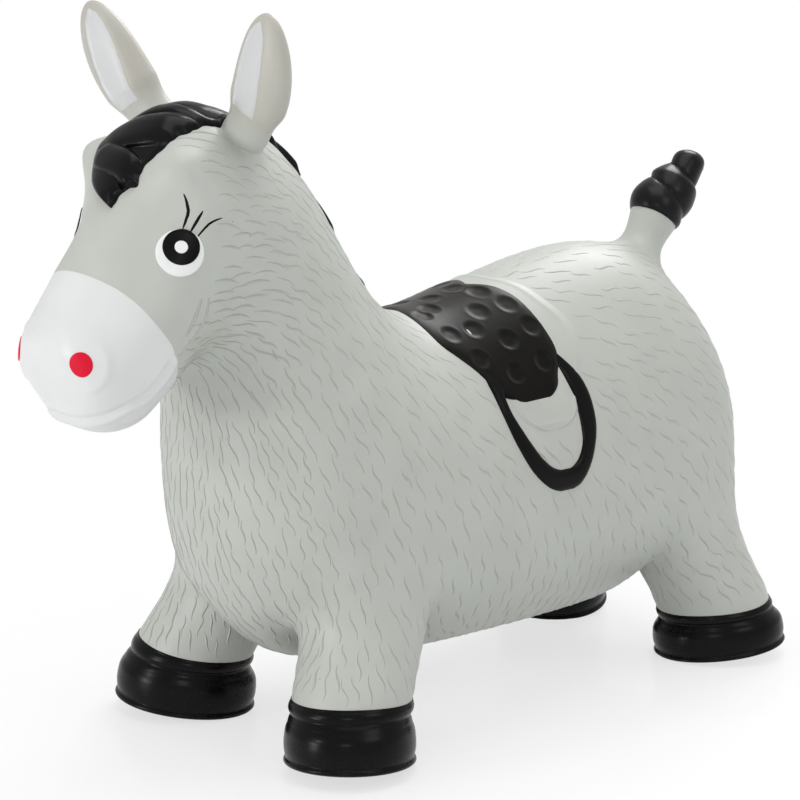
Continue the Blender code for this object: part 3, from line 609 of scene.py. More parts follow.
# Each station of the trunk, from the rump to the nose: dorsal y and z, ventral y and z, half
# width and the height of the widest place, as shares of the driving sizes
STATIONS = np.array((
    (0.371, 0.483, 0.375, 0.310, 0.240, 0.50),
    (0.337, 0.607, 0.349, 0.176, 0.410, 0.47),
    (0.275, 0.686, 0.295, 0.094, 0.482, 0.44),
    (0.200, 0.710, 0.215, 0.090, 0.500, 0.43),
    (0.066, 0.678, 0.064, 0.090, 0.500, 0.41),
    (-0.068, 0.627, -0.085, 0.094, 0.490, 0.41),
    (-0.132, 0.641, -0.195, 0.101, 0.485, 0.43),
    (-0.178, 0.689, -0.290, 0.122, 0.455, 0.48),
    (-0.213, 0.768, -0.355, 0.201, 0.425, 0.38),
    (-0.243, 0.848, -0.384, 0.329, 0.355, 0.40),
    (-0.286, 0.919, -0.382, 0.455, 0.312, 0.47),
    (-0.342, 0.971, -0.388, 0.565, 0.302, 0.50),
    (-0.396, 0.991, -0.402, 0.610, 0.310, 0.53),
    (-0.446, 0.976, -0.420, 0.615, 0.318, 0.57),
    (-0.502, 0.873, -0.440, 0.600, 0.290, 0.53),
    (-0.540, 0.770, -0.460, 0.572, 0.258, 0.40),
    (-0.570, 0.721, -0.505, 0.528, 0.240, 0.44),
    (-0.590, 0.678, -0.562, 0.555, 0.170, 0.50),
))
TRUNK_STARTS = ((0, Zone.TORSO), (8, Zone.NECK), (11, Zone.HEAD), (15, Zone.MUZZLE))
SECTORS = 12
DROPPED = -1
# The zones whose skin grows hair, in the order in which they are made
COAT = (Zone.TORSO, Zone.NECK, Zone.HEAD, Zone.LEG_FRONT_LEFT, Zone.LEG_FRONT_RIGHT,
        Zone.LEG_REAR_LEFT, Zone.LEG_REAR_RIGHT)
VALVE_PLACE = 0.0372
VALVE_HOLE = 0.0133
# How high the valve's surroundings and how far forward the face reach
BELLY_TOP = 0.1
FACE_START = -0.24


@dataclass
class LegSizes:
    """Places and sizes of a leg and its hoof."""

    foot_track: float = 0.178
    foot_front: float = 0.185
    foot_rear: float = 0.1965
    hip_track: float = 0.104
    hip_front: float = 0.120
    hip_rear: float = 0.156
    hip_height: float = 0.134
    thickness: float = 0.080
    hoof_length: float = 0.100
    hoof_width: float = 0.089
    front_hoof_height: float = 0.042
    rear_hoof_height: float = 0.037
    tilt: float = math.radians(7.0)
    turn: float = math.radians(45.0)
    sole_flat: float = 0.0014
    sole_share: float = 0.86
    # The loops' way down the leg, length and width
    loops: tuple = ((0.48, 1.02, 1.02), (1.00, 1.08, 1.02), (1.50, 1.05, 1.00))

    def frame(self, side: float, front: bool) -> tuple[Array, ...]:
        """Where a leg stands.

        Args:
            side: The side's sign in x.
            front: Whether it is a front leg.

        Returns:
            Sole, top of the hoof, hip, and the up, outward and across directions.
        """
        ahead = -1.0 if front else 1.0
        out = np.array((side * math.sin(self.turn), ahead * math.cos(self.turn), 0.0))
        up = unit(UP * math.cos(self.tilt) - out * math.sin(self.tilt))
        across = unit(np.cross(up, out))
        lift = self.hoof_length / 2.0 * self.sole_share * math.sin(self.tilt) - self.sole_flat
        sole = np.array((side * self.foot_track / 2.0,
                         -self.foot_front if front else self.foot_rear, lift))
        hip = np.array((side * self.hip_track / 2.0,
                        -self.hip_front if front else self.hip_rear, self.hip_height))
        height = self.front_hoof_height if front else self.rear_hoof_height
        return sole, sole + up * height, hip, up, np.cross(across, up), across


@dataclass
class EarSizes:
    """Places and sizes of an ear."""

    length: float = 0.094
    width: float = 0.050
    thickness: float = 0.028
    spread: float = 0.096
    bow: float = 0.004
    lean_out: float = math.radians(30.0)
    lean_forward: float = math.radians(14.0)
    place: Pair = (-0.374, 0.944)
    # The loops' way up the ear, width and thickness
    loops: tuple = ((-0.08, 0.98, 1.14), (0.10, 0.92, 1.10), (0.24, 0.86, 1.05),
                    (0.48, 1.00, 1.00), (0.82, 0.86, 0.70), (1.03, 0.24, 0.24))
    root_shift: float = 0.0045
    # Distance from the root, and way up the ear, over which its skin is left to flow
    flow_reach: Pair = (0.026, 0.056)
    flow_way: Pair = (0.12, 0.34)
    flow_rounds: int = 200
    # A span up the ear by its root, and the way up the ear over which its colour grows warmer
    bend_way: Pair = (0.10, 0.22)
    warm_way: Pair = (0.06, 0.34)
    # The lining's inner and outer edges across the ear, by the share of its length
    inner: tuple = ((0.00, -0.0080), (0.20, -0.0090), (0.30, -0.0112), (0.40, -0.0136),
                    (0.50, -0.0152), (0.60, -0.0160), (0.72, -0.0155), (0.82, -0.0135),
                    (0.90, -0.0098), (0.955, -0.0048), (1.00, -0.0040))
    outer: tuple = ((0.00, 0.0090), (0.20, 0.0098), (0.30, 0.0102), (0.40, 0.0099),
                    (0.50, 0.0090), (0.60, 0.0077), (0.70, 0.0063), (0.80, 0.0046),
                    (0.88, 0.0024), (0.955, -0.0034), (1.00, -0.0040))
    # Where the left and the right lining starts
    lining_start: Pair = (0.280, 0.215)
    hollow: float = 0.0019
    hollow_edge: Pair = (-0.0012, 0.0022)


@dataclass
class TailSizes:
    """Places and sizes of the tail's stem and of its twist."""

    stem: float = 0.030
    width: float = 0.038
    lean: float = math.radians(35.0)
    place: Pair = (0.312, 0.668)
    # The loops' way up the stem and width
    loops: tuple = ((0.10, 0.92), (0.32, 0.82), (0.64, 0.86), (1.00, 1.00), (1.35, 1.02))
    bend_way: Pair = (0.32, 0.64)
    twist_width: float = 0.045


@dataclass(frozen=True)
class Swell:
    """A soft mound on each side of the face, or a hollow where its heights are negative."""

    centre: Triple
    radii: Triple
    near: float
    far: float

    def rise(self, points: Array, far: Array) -> Array:
        """Height h exp(-|(p - c) / r|^2), with the far side's h where far is true."""
        gap = (points - np.array(self.centre)) / np.array(self.radii)
        return np.where(far, self.far, self.near) * np.exp(-np.sum(gap**2, axis=1))


@dataclass(frozen=True)
class FaceRelief:
    """Sizes of the nostril mound, the mouth, the brow, the eye's hollow and the chin."""

    nostril: Triple = (0.0318, -0.3568, 0.2904)
    nostril_height: float = 0.0007
    nostril_edge: Pair = (0.0165, 0.0215)
    nostril_side: Pair = (0.026, 0.040)
    mouth: tuple = (
        (0.0561, -0.3008, 0.2916), (0.0535, -0.3074, 0.2801), (0.0512, -0.3140, 0.2727),
        (0.0478, -0.3214, 0.2658), (0.0426, -0.3307, 0.2610), (0.0305, -0.3381, 0.2548),
        (0.0188, -0.3426, 0.2522), (0.0090, -0.3445, 0.2512), (0.0000, -0.3450, 0.2508))
    mouth_reach: float = 0.03
    lip: float = 0.0013
    crease: float = 0.0021
    jaw: float = 0.0009
    brow: Swell = Swell((0.0450, -0.2872, 0.4105), (0.016, 0.016, 0.015), 0.0078, 0.0125)
    eye: Swell = Swell((0.0440, -0.3080, 0.3660), (0.022, 0.026, 0.024), -0.0040, -0.0090)
    chin: Swell = Swell((0.0120, -0.3260, 0.2440), (0.032, 0.040, 0.022), 0.0036, 0.0036)
    # The muzzle border's slide by height: forwards and down over the nose, back at the cheek
    slide: tuple = ((0.250, -0.0040), (0.300, -0.0050), (0.312, -0.0026), (0.328, 0.0002),
                    (0.338, 0.0026), (0.349, 0.0067))
    slide_reach: float = 0.018
    slide_turn: Pair = (0.310, 0.340)
    slide_down: Triple = (0.0, -0.53, -0.85)

    def rise(self, points: Array, normals: Array) -> Array:
        """How far points of the face move along their normals.

        The nostril mounds are discs with a soft step and a rolled rim, the mouth is a lip
        over a crease with the jaw drawn in below it, and the rest are soft mounds.

        Args:
            points: The face's points.
            normals: Their normals.

        Returns:
            One length for each point.
        """
        far = points[:, 0] < 0.0
        mirror = np.where(far[:, None], (-1.0, 1.0, 1.0), (1.0, 1.0, 1.0))
        p, n = points * mirror, normals * mirror
        mound = np.linalg.norm(p - np.array(self.nostril), axis=1)
        outer = ease(p[:, 0], *self.nostril_side)
        rise = self.nostril_height * (1.0 - ease(mound, *self.nostril_edge)) * (0.3 + 0.7 * outer)
        rise += self.nostril_height * bell(mound, 0.0178, 0.0028) * outer
        distance, side, way = line_field(p, n, resample(np.array(self.mouth), 40))
        signed = distance * side
        lip = self.lip * bell(signed, 0.0028, 0.0026) - self.crease * bell(signed, -0.0014, 0.0017)
        jaw = -self.jaw * ease(-signed, 0.0, 0.004) * (1.0 - ease(-signed, 0.010, 0.026))
        fade = ease(way, 0.0, 0.08) * 0.6 + 0.4
        rise += np.where(distance < self.mouth_reach, (lip + jaw) * fade, 0.0)
        below = ease(-n[:, 2], 0.1, 0.7) * ease(-p[:, 2], -0.262, -0.250)
        return rise + self.brow.rise(p, far) + self.eye.rise(p, far) + self.chin.rise(p, far) * below


@dataclass
class Cage:
    """A cage of control points and quads, each quad in a zone, that limbs grow out of.

    Its first quads are the trunk's, a row for each step between two stations.
    """

    points: Array
    quads: Array
    zones: Array

    @staticmethod
    def corner(station: int, sector: int) -> int:
        """Index of a point or quad of the trunk."""
        return station * SECTORS + sector % SECTORS

    def join(self, quads: list[tuple[int, ...]], zone: Zone) -> None:
        """Add quads of one zone."""
        self.quads = np.vstack((self.quads, quads))
        self.zones = np.append(self.zones, [zone.value] * len(quads))

    def close(self, ring: list[int], zone: Zone) -> None:
        """Close a ring, with one quad or with quads that meet in its middle.

        Args:
            ring: Indices of the ring's points.
            zone: The new quads' zone.
        """
        if len(ring) == 4:
            self.join([tuple(ring)], zone)
            return
        hub = len(self.points)
        self.points = np.vstack((self.points, self.points[ring].mean(axis=0)))
        self.join([(hub, ring[j], ring[j + 1], ring[(j + 2) % len(ring)])
                   for j in range(0, len(ring), 2)], zone)

    def grow(self, stations: tuple, sectors: tuple, loops: list[Array], zones: tuple) -> None:
        """Grow a limb out of a patch of the trunk, whose quads are dropped.

        Each loop is turned so that it lies nearest to the ring before it, and quads join them.

        Args:
            stations: The patch's rows of quads.
            sectors: Its columns of quads.
            loops: The limb's control loops.
            zones: The zone of the quads that lead to each loop.
        """
        first, last = stations[0], stations[-1] + 1
        low, high = sectors[0], sectors[-1] + 1
        self.zones[[self.corner(i, k) for i in stations for k in sectors]] = DROPPED
        ring = ([self.corner(first, k) for k in range(low, high)]
                + [self.corner(i, high) for i in range(first, last)]
                + [self.corner(last, k) for k in range(high, low, -1)]
                + [self.corner(i, low) for i in range(last, first, -1)])
        for loop, zone in zip(loops, zones):
            places, count = self.points[ring], len(loop)
            turns = [np.roll(way, turn, axis=0) for way in (loop, loop[::-1])
                     for turn in range(count)]
            loop = min(turns, key=lambda turned: np.sum((turned - places) ** 2))
            fresh = list(range(len(self.points), len(self.points) + count))
            self.points = np.vstack((self.points, loop))
            self.join([(ring[j], ring[(j + 1) % count], fresh[(j + 1) % count], fresh[j])
                       for j in range(count)], zone)
            ring = fresh
        self.close(ring, zones[-1])


@dataclass
class DonkeySkin:
    """The whole skin: one rounded cage, sculpted, then cut into the toy's pieces."""

    body_length: float = 0.620
    body_height: float = 0.448
    body_width: float = 0.218
    levels: int = 4
    leg: LegSizes = field(default_factory=LegSizes)
    ear: EarSizes = field(default_factory=EarSizes)
    tail: TailSizes = field(default_factory=TailSizes)
    face: FaceRelief = field(default_factory=FaceRelief)
    shift: float = 0.0
    points: Array = field(default_factory=lambda: np.zeros((0, 3)))
    normals: Array = field(default_factory=lambda: np.zeros((0, 3)))
    quads: Array = field(default_factory=lambda: np.zeros((0, 4), int))
    zones: Array = field(default_factory=lambda: np.zeros(0, int))
    tree: BVHTree | None = None

    def middle_point(self, shares: Pair) -> Array:
        """A point on the middle plane, from shares of the body length and body height."""
        return np.array((0.0, shares[0] * self.body_length, shares[1] * self.body_height))

    def trunk_points(self) -> Array:
        """Control points of the trunk.

        A ring about its centre c, with dorsal and ventral points d and v and half width w, is
        c + f (max(cos a, 0)(d - c) + max(-cos a, 0)(v - c) + w sin a x), where the factor
        f = 3 / (2 + cos(2 pi / n)) makes up for the rounding of a ring of n points.

        Returns:
            The points, stations by sectors by 3.
        """
        length, height = self.body_length, self.body_height
        dorsal = vectors(0.0, STATIONS[:, 0] * length, STATIONS[:, 1] * height)
        ventral = vectors(0.0, STATIONS[:, 2] * length, STATIONS[:, 3] * height)
        centre = ventral + (dorsal - ventral) * STATIONS[:, 5:6]
        angle = (FULL_TURN * (np.arange(SECTORS) + 0.5) / SECTORS)[None, :, None]
        above, below = np.clip(np.cos(angle), 0.0, None), np.clip(-np.cos(angle), 0.0, None)
        return centre[:, None] + rounding(SECTORS) * (
            above * (dorsal - centre)[:, None] + below * (ventral - centre)[:, None]
            + np.sin(angle) * RIGHT * (STATIONS[:, 4] * self.body_width)[:, None, None])

    @staticmethod
    def limb_loop(count: int, centre: Array, forward: Array, sideways: Array,
                  depth: float, width: float) -> Array:
        """Control points that round off to the ellipse c + d cos a f + w sin a s.

        Args:
            count: How many points.
            centre: The ellipse's centre.
            forward: Its first direction.
            sideways: Its second direction.
            depth: Half its size along the first.
            width: Half its size along the second.

        Returns:
            The points.
        """
        angle = angles(count, math.pi / 4 if count == 4 else 0.0)[:, None]
        return (centre + np.cos(angle) * forward * depth * rounding(count)
                + np.sin(angle) * sideways * width * rounding(count))

    def leg_loops(self, side: float, front: bool) -> list[Array]:
        """Control loops of a leg, from its flare at the trunk down into the hoof.

        Args:
            side: The side's sign in x.
            front: Whether it is a front leg.

        Returns:
            The loops.
        """
        sole, top, hip, _, out, across = self.leg.frame(side, front)
        half = self.leg.thickness / 2.0
        loops = []
        for way, length, width in self.leg.loops:
            centre = hip + (top - hip) * way if way <= 1.0 else top + (sole - top) * (way - 1.0)
            loops.append(self.limb_loop(8, centre, out, across, half * length, half * width))
        return loops

    def ear_frame(self, side: float) -> tuple[Array, Array, Array, Array]:
        """Where an ear grows.

        Args:
            side: The side's sign in x.

        Returns:
            Root, axis and the sideways and forward directions.
        """
        ear = self.ear
        root = self.middle_point(ear.place) + RIGHT * side * ear.spread / 2.0
        axis = unit(np.array((side * math.tan(ear.lean_out), -math.tan(ear.lean_forward), 1.0)))
        forward = unit(AHEAD - axis * (AHEAD @ axis))
        sideways = np.cross(forward, axis) * side
        return root, axis, sideways * (1.0 if sideways[0] * side > 0.0 else -1.0), forward

    def ear_way(self, side: float, points: Array) -> Array:
        """How far up an ear points lie, as a share of its length."""
        root, axis, _, _ = self.ear_frame(side)
        return (points - root) @ axis / self.ear.length

    def ear_point(self, side: float, way: Array | float) -> Array:
        """Centre of the ear at a share of its length; the blade bows outwards by 4 w (1 - w).

        Args:
            side: The side's sign in x.
            way: The share of the length.

        Returns:
            The point or points.
        """
        root, axis, sideways, _ = self.ear_frame(side)
        way = np.asarray(way, float)[..., None]
        lean = 4.0 * way * (1 - way) * self.ear.bow
        lean = lean - self.ear.root_shift * (1.0 - ease(way, 0.0, 0.42))
        return root + axis * self.ear.length * way + sideways * lean

    def ear_loops(self, side: float) -> list[Array]:
        """Control loops of an ear, from the crown of the head to its tip."""
        (_, _, sideways, forward), ear = self.ear_frame(side), self.ear
        return [self.limb_loop(4, self.ear_point(side, way), forward, sideways,
                               ear.thickness / 2.0 * thick, ear.width / 2.0 * wide)
                for way, wide, thick in ear.loops]

    def tail_frame(self) -> tuple[Array, Array, Array]:
        """Root, axis and forward direction of the tail."""
        axis = np.array((0.0, math.sin(self.tail.lean), math.cos(self.tail.lean)))
        return self.middle_point(self.tail.place), axis, np.cross(RIGHT, axis)

    def tail_point(self, way: float) -> Array:
        """A point up the middle of the tail's stem, at a share of its length."""
        root, axis, _ = self.tail_frame()
        return root + axis * self.tail.stem * way

    def tail_loops(self) -> list[Array]:
        """Control loops of the tail, from the rump into the twist."""
        forward, half = self.tail_frame()[2], self.tail.width / 2.0
        return [self.limb_loop(4, self.tail_point(way), forward, RIGHT, half * wide, half * wide)
                for way, wide in self.tail.loops]

    def cage(self) -> tuple[Array, Array, Array]:
        """The control cage: the trunk's grid with the legs, ears and tail grown out of it.

        Returns:
            Points, quads and zone numbers.
        """
        count = len(STATIONS)
        zones = np.zeros(count - 1, int)
        for start, zone in TRUNK_STARTS:
            zones[start:] = zone.value
        cage = Cage(self.trunk_points().reshape(-1, 3), grid_faces(count, SECTORS, wrap=True),
                    np.repeat(zones, SECTORS))
        for name, side in SIDES.items():
            sectors = (3, 4) if side > 0.0 else (SECTORS - 6, SECTORS - 5)
            for end, stations in (("FRONT", (6, 7)), ("REAR", (1, 2))):
                leg = Zone[f"LEG_{end}_{name.upper()}"]
                cage.grow(stations, sectors, self.leg_loops(side, end == "FRONT"),
                          (Zone.TORSO, leg, leg))
            ear = Zone[f"EAR_{name.upper()}"]
            cage.grow((11,), (0,) if side > 0.0 else (SECTORS - 2,), self.ear_loops(side),
                      (Zone.HEAD, Zone.HEAD) + (ear,) * 4)
        cage.grow((1,), (SECTORS - 1,), self.tail_loops(), (Zone.TORSO,) * 2 + (Zone.TAIL,) * 3)
        cage.close([cage.corner(0, k) for k in range(SECTORS)], Zone.TORSO)
        cage.close([cage.corner(count - 1, k) for k in range(SECTORS)], Zone.MUZZLE)
        kept = cage.zones != DROPPED
        used, index = np.unique(cage.quads[kept], return_inverse=True)
        return cage.points[used], index.reshape(-1, 4), cage.zones[kept]

    def build(self) -> None:
        """Round the cage, sculpt the rounded skin and keep its arrays and search tree."""
        points, quads, zones = self.cage()
        mesh = make_mesh("skin_cage", points, quads, 0.0)
        mesh.polygons.foreach_set("material_index", zones.astype(np.int32))
        form = bmesh.new()
        form.from_mesh(mesh)
        bmesh.ops.recalc_face_normals(form, faces=form.faces)
        form.to_mesh(mesh)
        form.free()
        guide = new_object("skin_guide", mesh)
        subdivision = guide.modifiers.new("rounding", "SUBSURF")
        subdivision.levels = subdivision.render_levels = self.levels
        depsgraph = bpy.context.evaluated_depsgraph_get()
        smooth = bpy.data.meshes.new_from_object(guide.evaluated_get(depsgraph))
        bpy.data.objects.remove(guide)
        self.points = read(smooth.vertices, "co", 3)
        self.quads = read(smooth.loops, "vertex_index", kind=np.int32).reshape(-1, 4)
        self.zones = read(smooth.polygons, "material_index", kind=np.int32)
        self.slide_border()
        self.soften_roots()
        self.normals = self.smooth_normals()
        self.points = self.points + self.normals * self.sculpt()[:, None]
        self.normals = self.smooth_normals()
        self.round_valve_hole()
        self.tree = BVHTree.FromPolygons(self.points.tolist(), self.quads.tolist())

    def soften_roots(self) -> None:
        """Let each ear flow into the head: points near its root move to their neighbours' mean."""
        ear, weight = self.ear, np.zeros(len(self.points))
        for side in SIDES.values():
            root, axis, _, _ = self.ear_frame(side)
            gap = np.linalg.norm(self.points - root - axis * 0.006, axis=1)
            weight += ((1.0 - ease(gap, *ear.flow_reach))
                       * (1.0 - ease(self.ear_way(side, self.points), *ear.flow_way)))
        quads = self.quads[(weight[self.quads] > 0.0).any(axis=1)]
        used, index = np.unique(quads, return_inverse=True)
        index = index.reshape(-1, 4)
        ends = np.concatenate([np.stack((index[:, k], index[:, (k + step) % 4]), -1)
                               for k in range(4) for step in (1, 3)])
        count = np.bincount(ends[:, 0], minlength=len(used))[:, None]
        spots, share = self.points[used], 0.5 * weight[used][:, None]
        for _ in range(ear.flow_rounds if self.levels > 3 else ear.flow_rounds // 4):
            mean = gather(ends[:, 0], spots[ends[:, 1]], len(used)) / count
            spots = spots + share * (mean - spots)
        self.points[used] = spots

    def smooth_normals(self) -> Array:
        """Each point's normal: the sum of its quads' cross products of diagonals, made unit."""
        corner = self.points[self.quads]
        cross = np.cross(corner[:, 2] - corner[:, 0], corner[:, 3] - corner[:, 1])
        return unit(sum(gather(self.quads[:, k], cross, len(self.points)) for k in range(4)))

    def sculpt(self) -> Array:
        """How far each point moves along its normal to form the face and the ears."""
        rise, head = np.zeros(len(self.points)), self.points[:, 1] < FACE_START
        rise[head] = self.face.rise(self.points[head], self.normals[head])
        return rise + sum(self.ear_hollow(side) for side in SIDES.values())

    def ear_hollow(self, side: float) -> Array:
        """How far each point sinks to hollow out the front of an ear within its lining.

        Args:
            side: The side's sign in x.

        Returns:
            One length for each point, none above zero.
        """
        ear, (root, _, sideways, forward) = self.ear, self.ear_frame(side)
        way = self.ear_way(side, self.points)
        x = (self.points - self.ear_point(side, np.clip(way, 0.0, 1.0))) @ sideways
        inside = ease(x - look_up(ear.inner, way), *ear.hollow_edge)
        inside *= ease(look_up(ear.outer, way) - x, *ear.hollow_edge)
        inside *= ease(way, 0.02, 0.30) * (1.0 - ease(way, 0.90, 0.97))
        near = np.linalg.norm(self.points - root, axis=1) < ear.length * 1.2
        return -ear.hollow * inside * ease(self.normals @ forward, 0.10, 0.45) * near

    def slide_border(self) -> None:
        """Slide the skin along itself until the muzzle's paint border lies on its arched line.

        A point within reach r of the border moves by the border's own shift, which its table
        gives by height, times exp(-(d / r)^2) of the distance d, and back to the skin.
        """
        face, numbers = self.face, np.arange(len(self.points))
        head, muzzle = (np.isin(numbers, self.quads[self.zones == zone.value])
                        for zone in (Zone.HEAD, Zone.MUZZLE))
        border = self.points[head & muzzle]
        index = np.flatnonzero((head | muzzle) & (self.points[:, 1] < FACE_START))
        gaps = np.linalg.norm(self.points[index][:, None] - border[None], axis=2)
        height = border[np.argmin(gaps, axis=1), 2]
        lean = ease(height, *face.slide_turn)[:, None]
        way = unit(AHEAD * (1.0 - lean) + np.array(face.slide_down) * lean)
        nearness = np.exp(-((gaps.min(axis=1) / face.slide_reach) ** 2))
        move = way * (look_up(face.slide, height) * nearness)[:, None]
        tree = BVHTree.FromPolygons(self.points.tolist(), self.quads.tolist())
        self.points[index] = [tree.find_nearest(Vector(spot))[0]
                              for spot in self.points[index] + move]

    def vertex_zones(self) -> Array:
        """The zone of each point, from the last quad that touches it."""
        zones = np.zeros(len(self.points), int)
        zones[self.quads.reshape(-1)] = np.repeat(self.zones, 4)
        return zones

    def round_valve_hole(self) -> None:
        """Leave out the torso's quads over the valve port and draw the hole's rim to a circle."""
        middle = np.array((0.0, VALVE_PLACE))
        centres = self.points[self.quads].mean(axis=1)
        inside = np.linalg.norm(centres[:, :2] - middle, axis=1) < VALVE_HOLE
        inside &= centres[:, 2] < BELLY_TOP
        rim = np.intersect1d(self.quads[inside], self.quads[~inside])
        offset = unit(self.points[rim, :2] - middle)
        self.points[rim, :2] = middle + offset * VALVE_HOLE
        self.quads, self.zones = self.quads[~inside], self.zones[~inside]

    def cut(self, name: str, zone: Zone) -> Mesh:
        """One zone of the skin as a closed mesh that keeps the whole skin's normals.

        The quads of the zone are kept, and each open border is closed by a fan to a hub that
        lies a little inside, so that the shading runs on over a cut as on one skin.

        Args:
            name: The mesh's name.
            zone: The zone to cut out.

        Returns:
            The mesh.
        """
        quads = self.quads[self.zones == zone.value]
        used, index = np.unique(quads, return_inverse=True)
        index = index.reshape(-1, 4)
        points, normals = self.points[used], self.normals[used]
        edges = {(int(a), int(b)) for face in index for a, b in zip(face, np.roll(face, -1))}
        following = {a: b for a, b in edges if (b, a) not in edges}
        hubs, fans = [], []
        while following:
            first, current = following.popitem()
            loop = [first]
            while current != first:
                loop.append(current)
                current = following.pop(current)
            hub = len(points) + len(hubs)
            centre = points[loop].mean(axis=0)
            hubs.append(centre + 0.25 * (points.mean(axis=0) - centre))
            fans += [(b, a, hub) for a, b in zip(loop, loop[1:] + loop[:1])]
        mesh = make_mesh(name, np.vstack((points, *[hub[None] for hub in hubs])),
                         index.tolist() + [list(fan) for fan in fans], self.shift)
        caps = np.repeat(read(mesh.polygons, "normal", 3)[len(index):], 3, axis=0)
        mesh.normals_split_custom_set(np.vstack((normals[index.reshape(-1)], caps)).tolist())
        return mesh

    def make_pieces(self) -> None:
        """Cut the skin into its pieces, and put each on its body but the ears' and the tail's, which
        ride on none.
        """
        for zone in (*COAT, Zone.MUZZLE):
            node = zone.name.lower()
            finish = WHITE_PAINT if zone is Zone.MUZZLE else GREY_SKIN
            place_piece(self.cut(f"skin_{node}", zone), finish, (node,), closed=False)
        move = np.array((0.0, self.shift, 0.0))
        for name, side in SIDES.items():
            mesh = self.cut(f"skin_ear_{name}", Zone[f"EAR_{name.upper()}"])
            way = self.ear_way(side, read(mesh.vertices, "co", 3) - move)
            mark = mesh.attributes.new("warmth", "FLOAT", "POINT")
            mark.data.foreach_set("value", ease(way, *self.ear.warm_way))
            piece = place_piece(mesh, EAR_SKIN, (f"ear_root_{name}", f"ear_{name}"), body="",
                                closed=False)
            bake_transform(piece)
        piece = place_piece(self.cut("skin_tail", Zone.TAIL), GREY_SKIN,
                            ("tail_root", "tail_stem"), body="", closed=False)
        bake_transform(piece)

    def outer_hits(self, cores: Array, directions: Array) -> tuple[Array, Array]:
        """Where rays from outside meet the skin first, or its nearest point where they miss.

        Args:
            cores: Points inside the skin, any shape by 3.
            directions: Outward directions, of the same shape.

        Returns:
            The points and normals met, of the same shape.
        """
        shape = np.broadcast_shapes(cores.shape, directions.shape)
        ways = np.broadcast_to(directions, shape).reshape(-1, 3)
        cores = np.broadcast_to(cores, shape).reshape(-1, 3)
        found = [self.tree.ray_cast(Vector(core + way), Vector(-way))[:2]
                 for core, way in zip(cores, ways)]
        found = [hit if hit[0] else self.tree.find_nearest(Vector(core))[:2]
                 for hit, core in zip(found, cores)]
        return (np.array([hit[0] for hit in found]).reshape(shape),
                np.array([hit[1] for hit in found]).reshape(shape))

    def nearest(self, points: Array) -> tuple[Array, Array]:
        """Nearest points of the skin and their normals, for points of any shape by 3."""
        found = [self.tree.find_nearest(Vector(point))[:2] for point in points.reshape(-1, 3)]
        return (np.array([hit[0] for hit in found]).reshape(points.shape),
                np.array([hit[1] for hit in found]).reshape(points.shape))


def packed_shift() -> float:
    """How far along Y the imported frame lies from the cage's origin, from the valve port's box."""
    low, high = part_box("valve_port")
    return (low[1] + high[1]) / 2.0 - VALVE_PLACE


# Pads, discs and strands laid on the skin


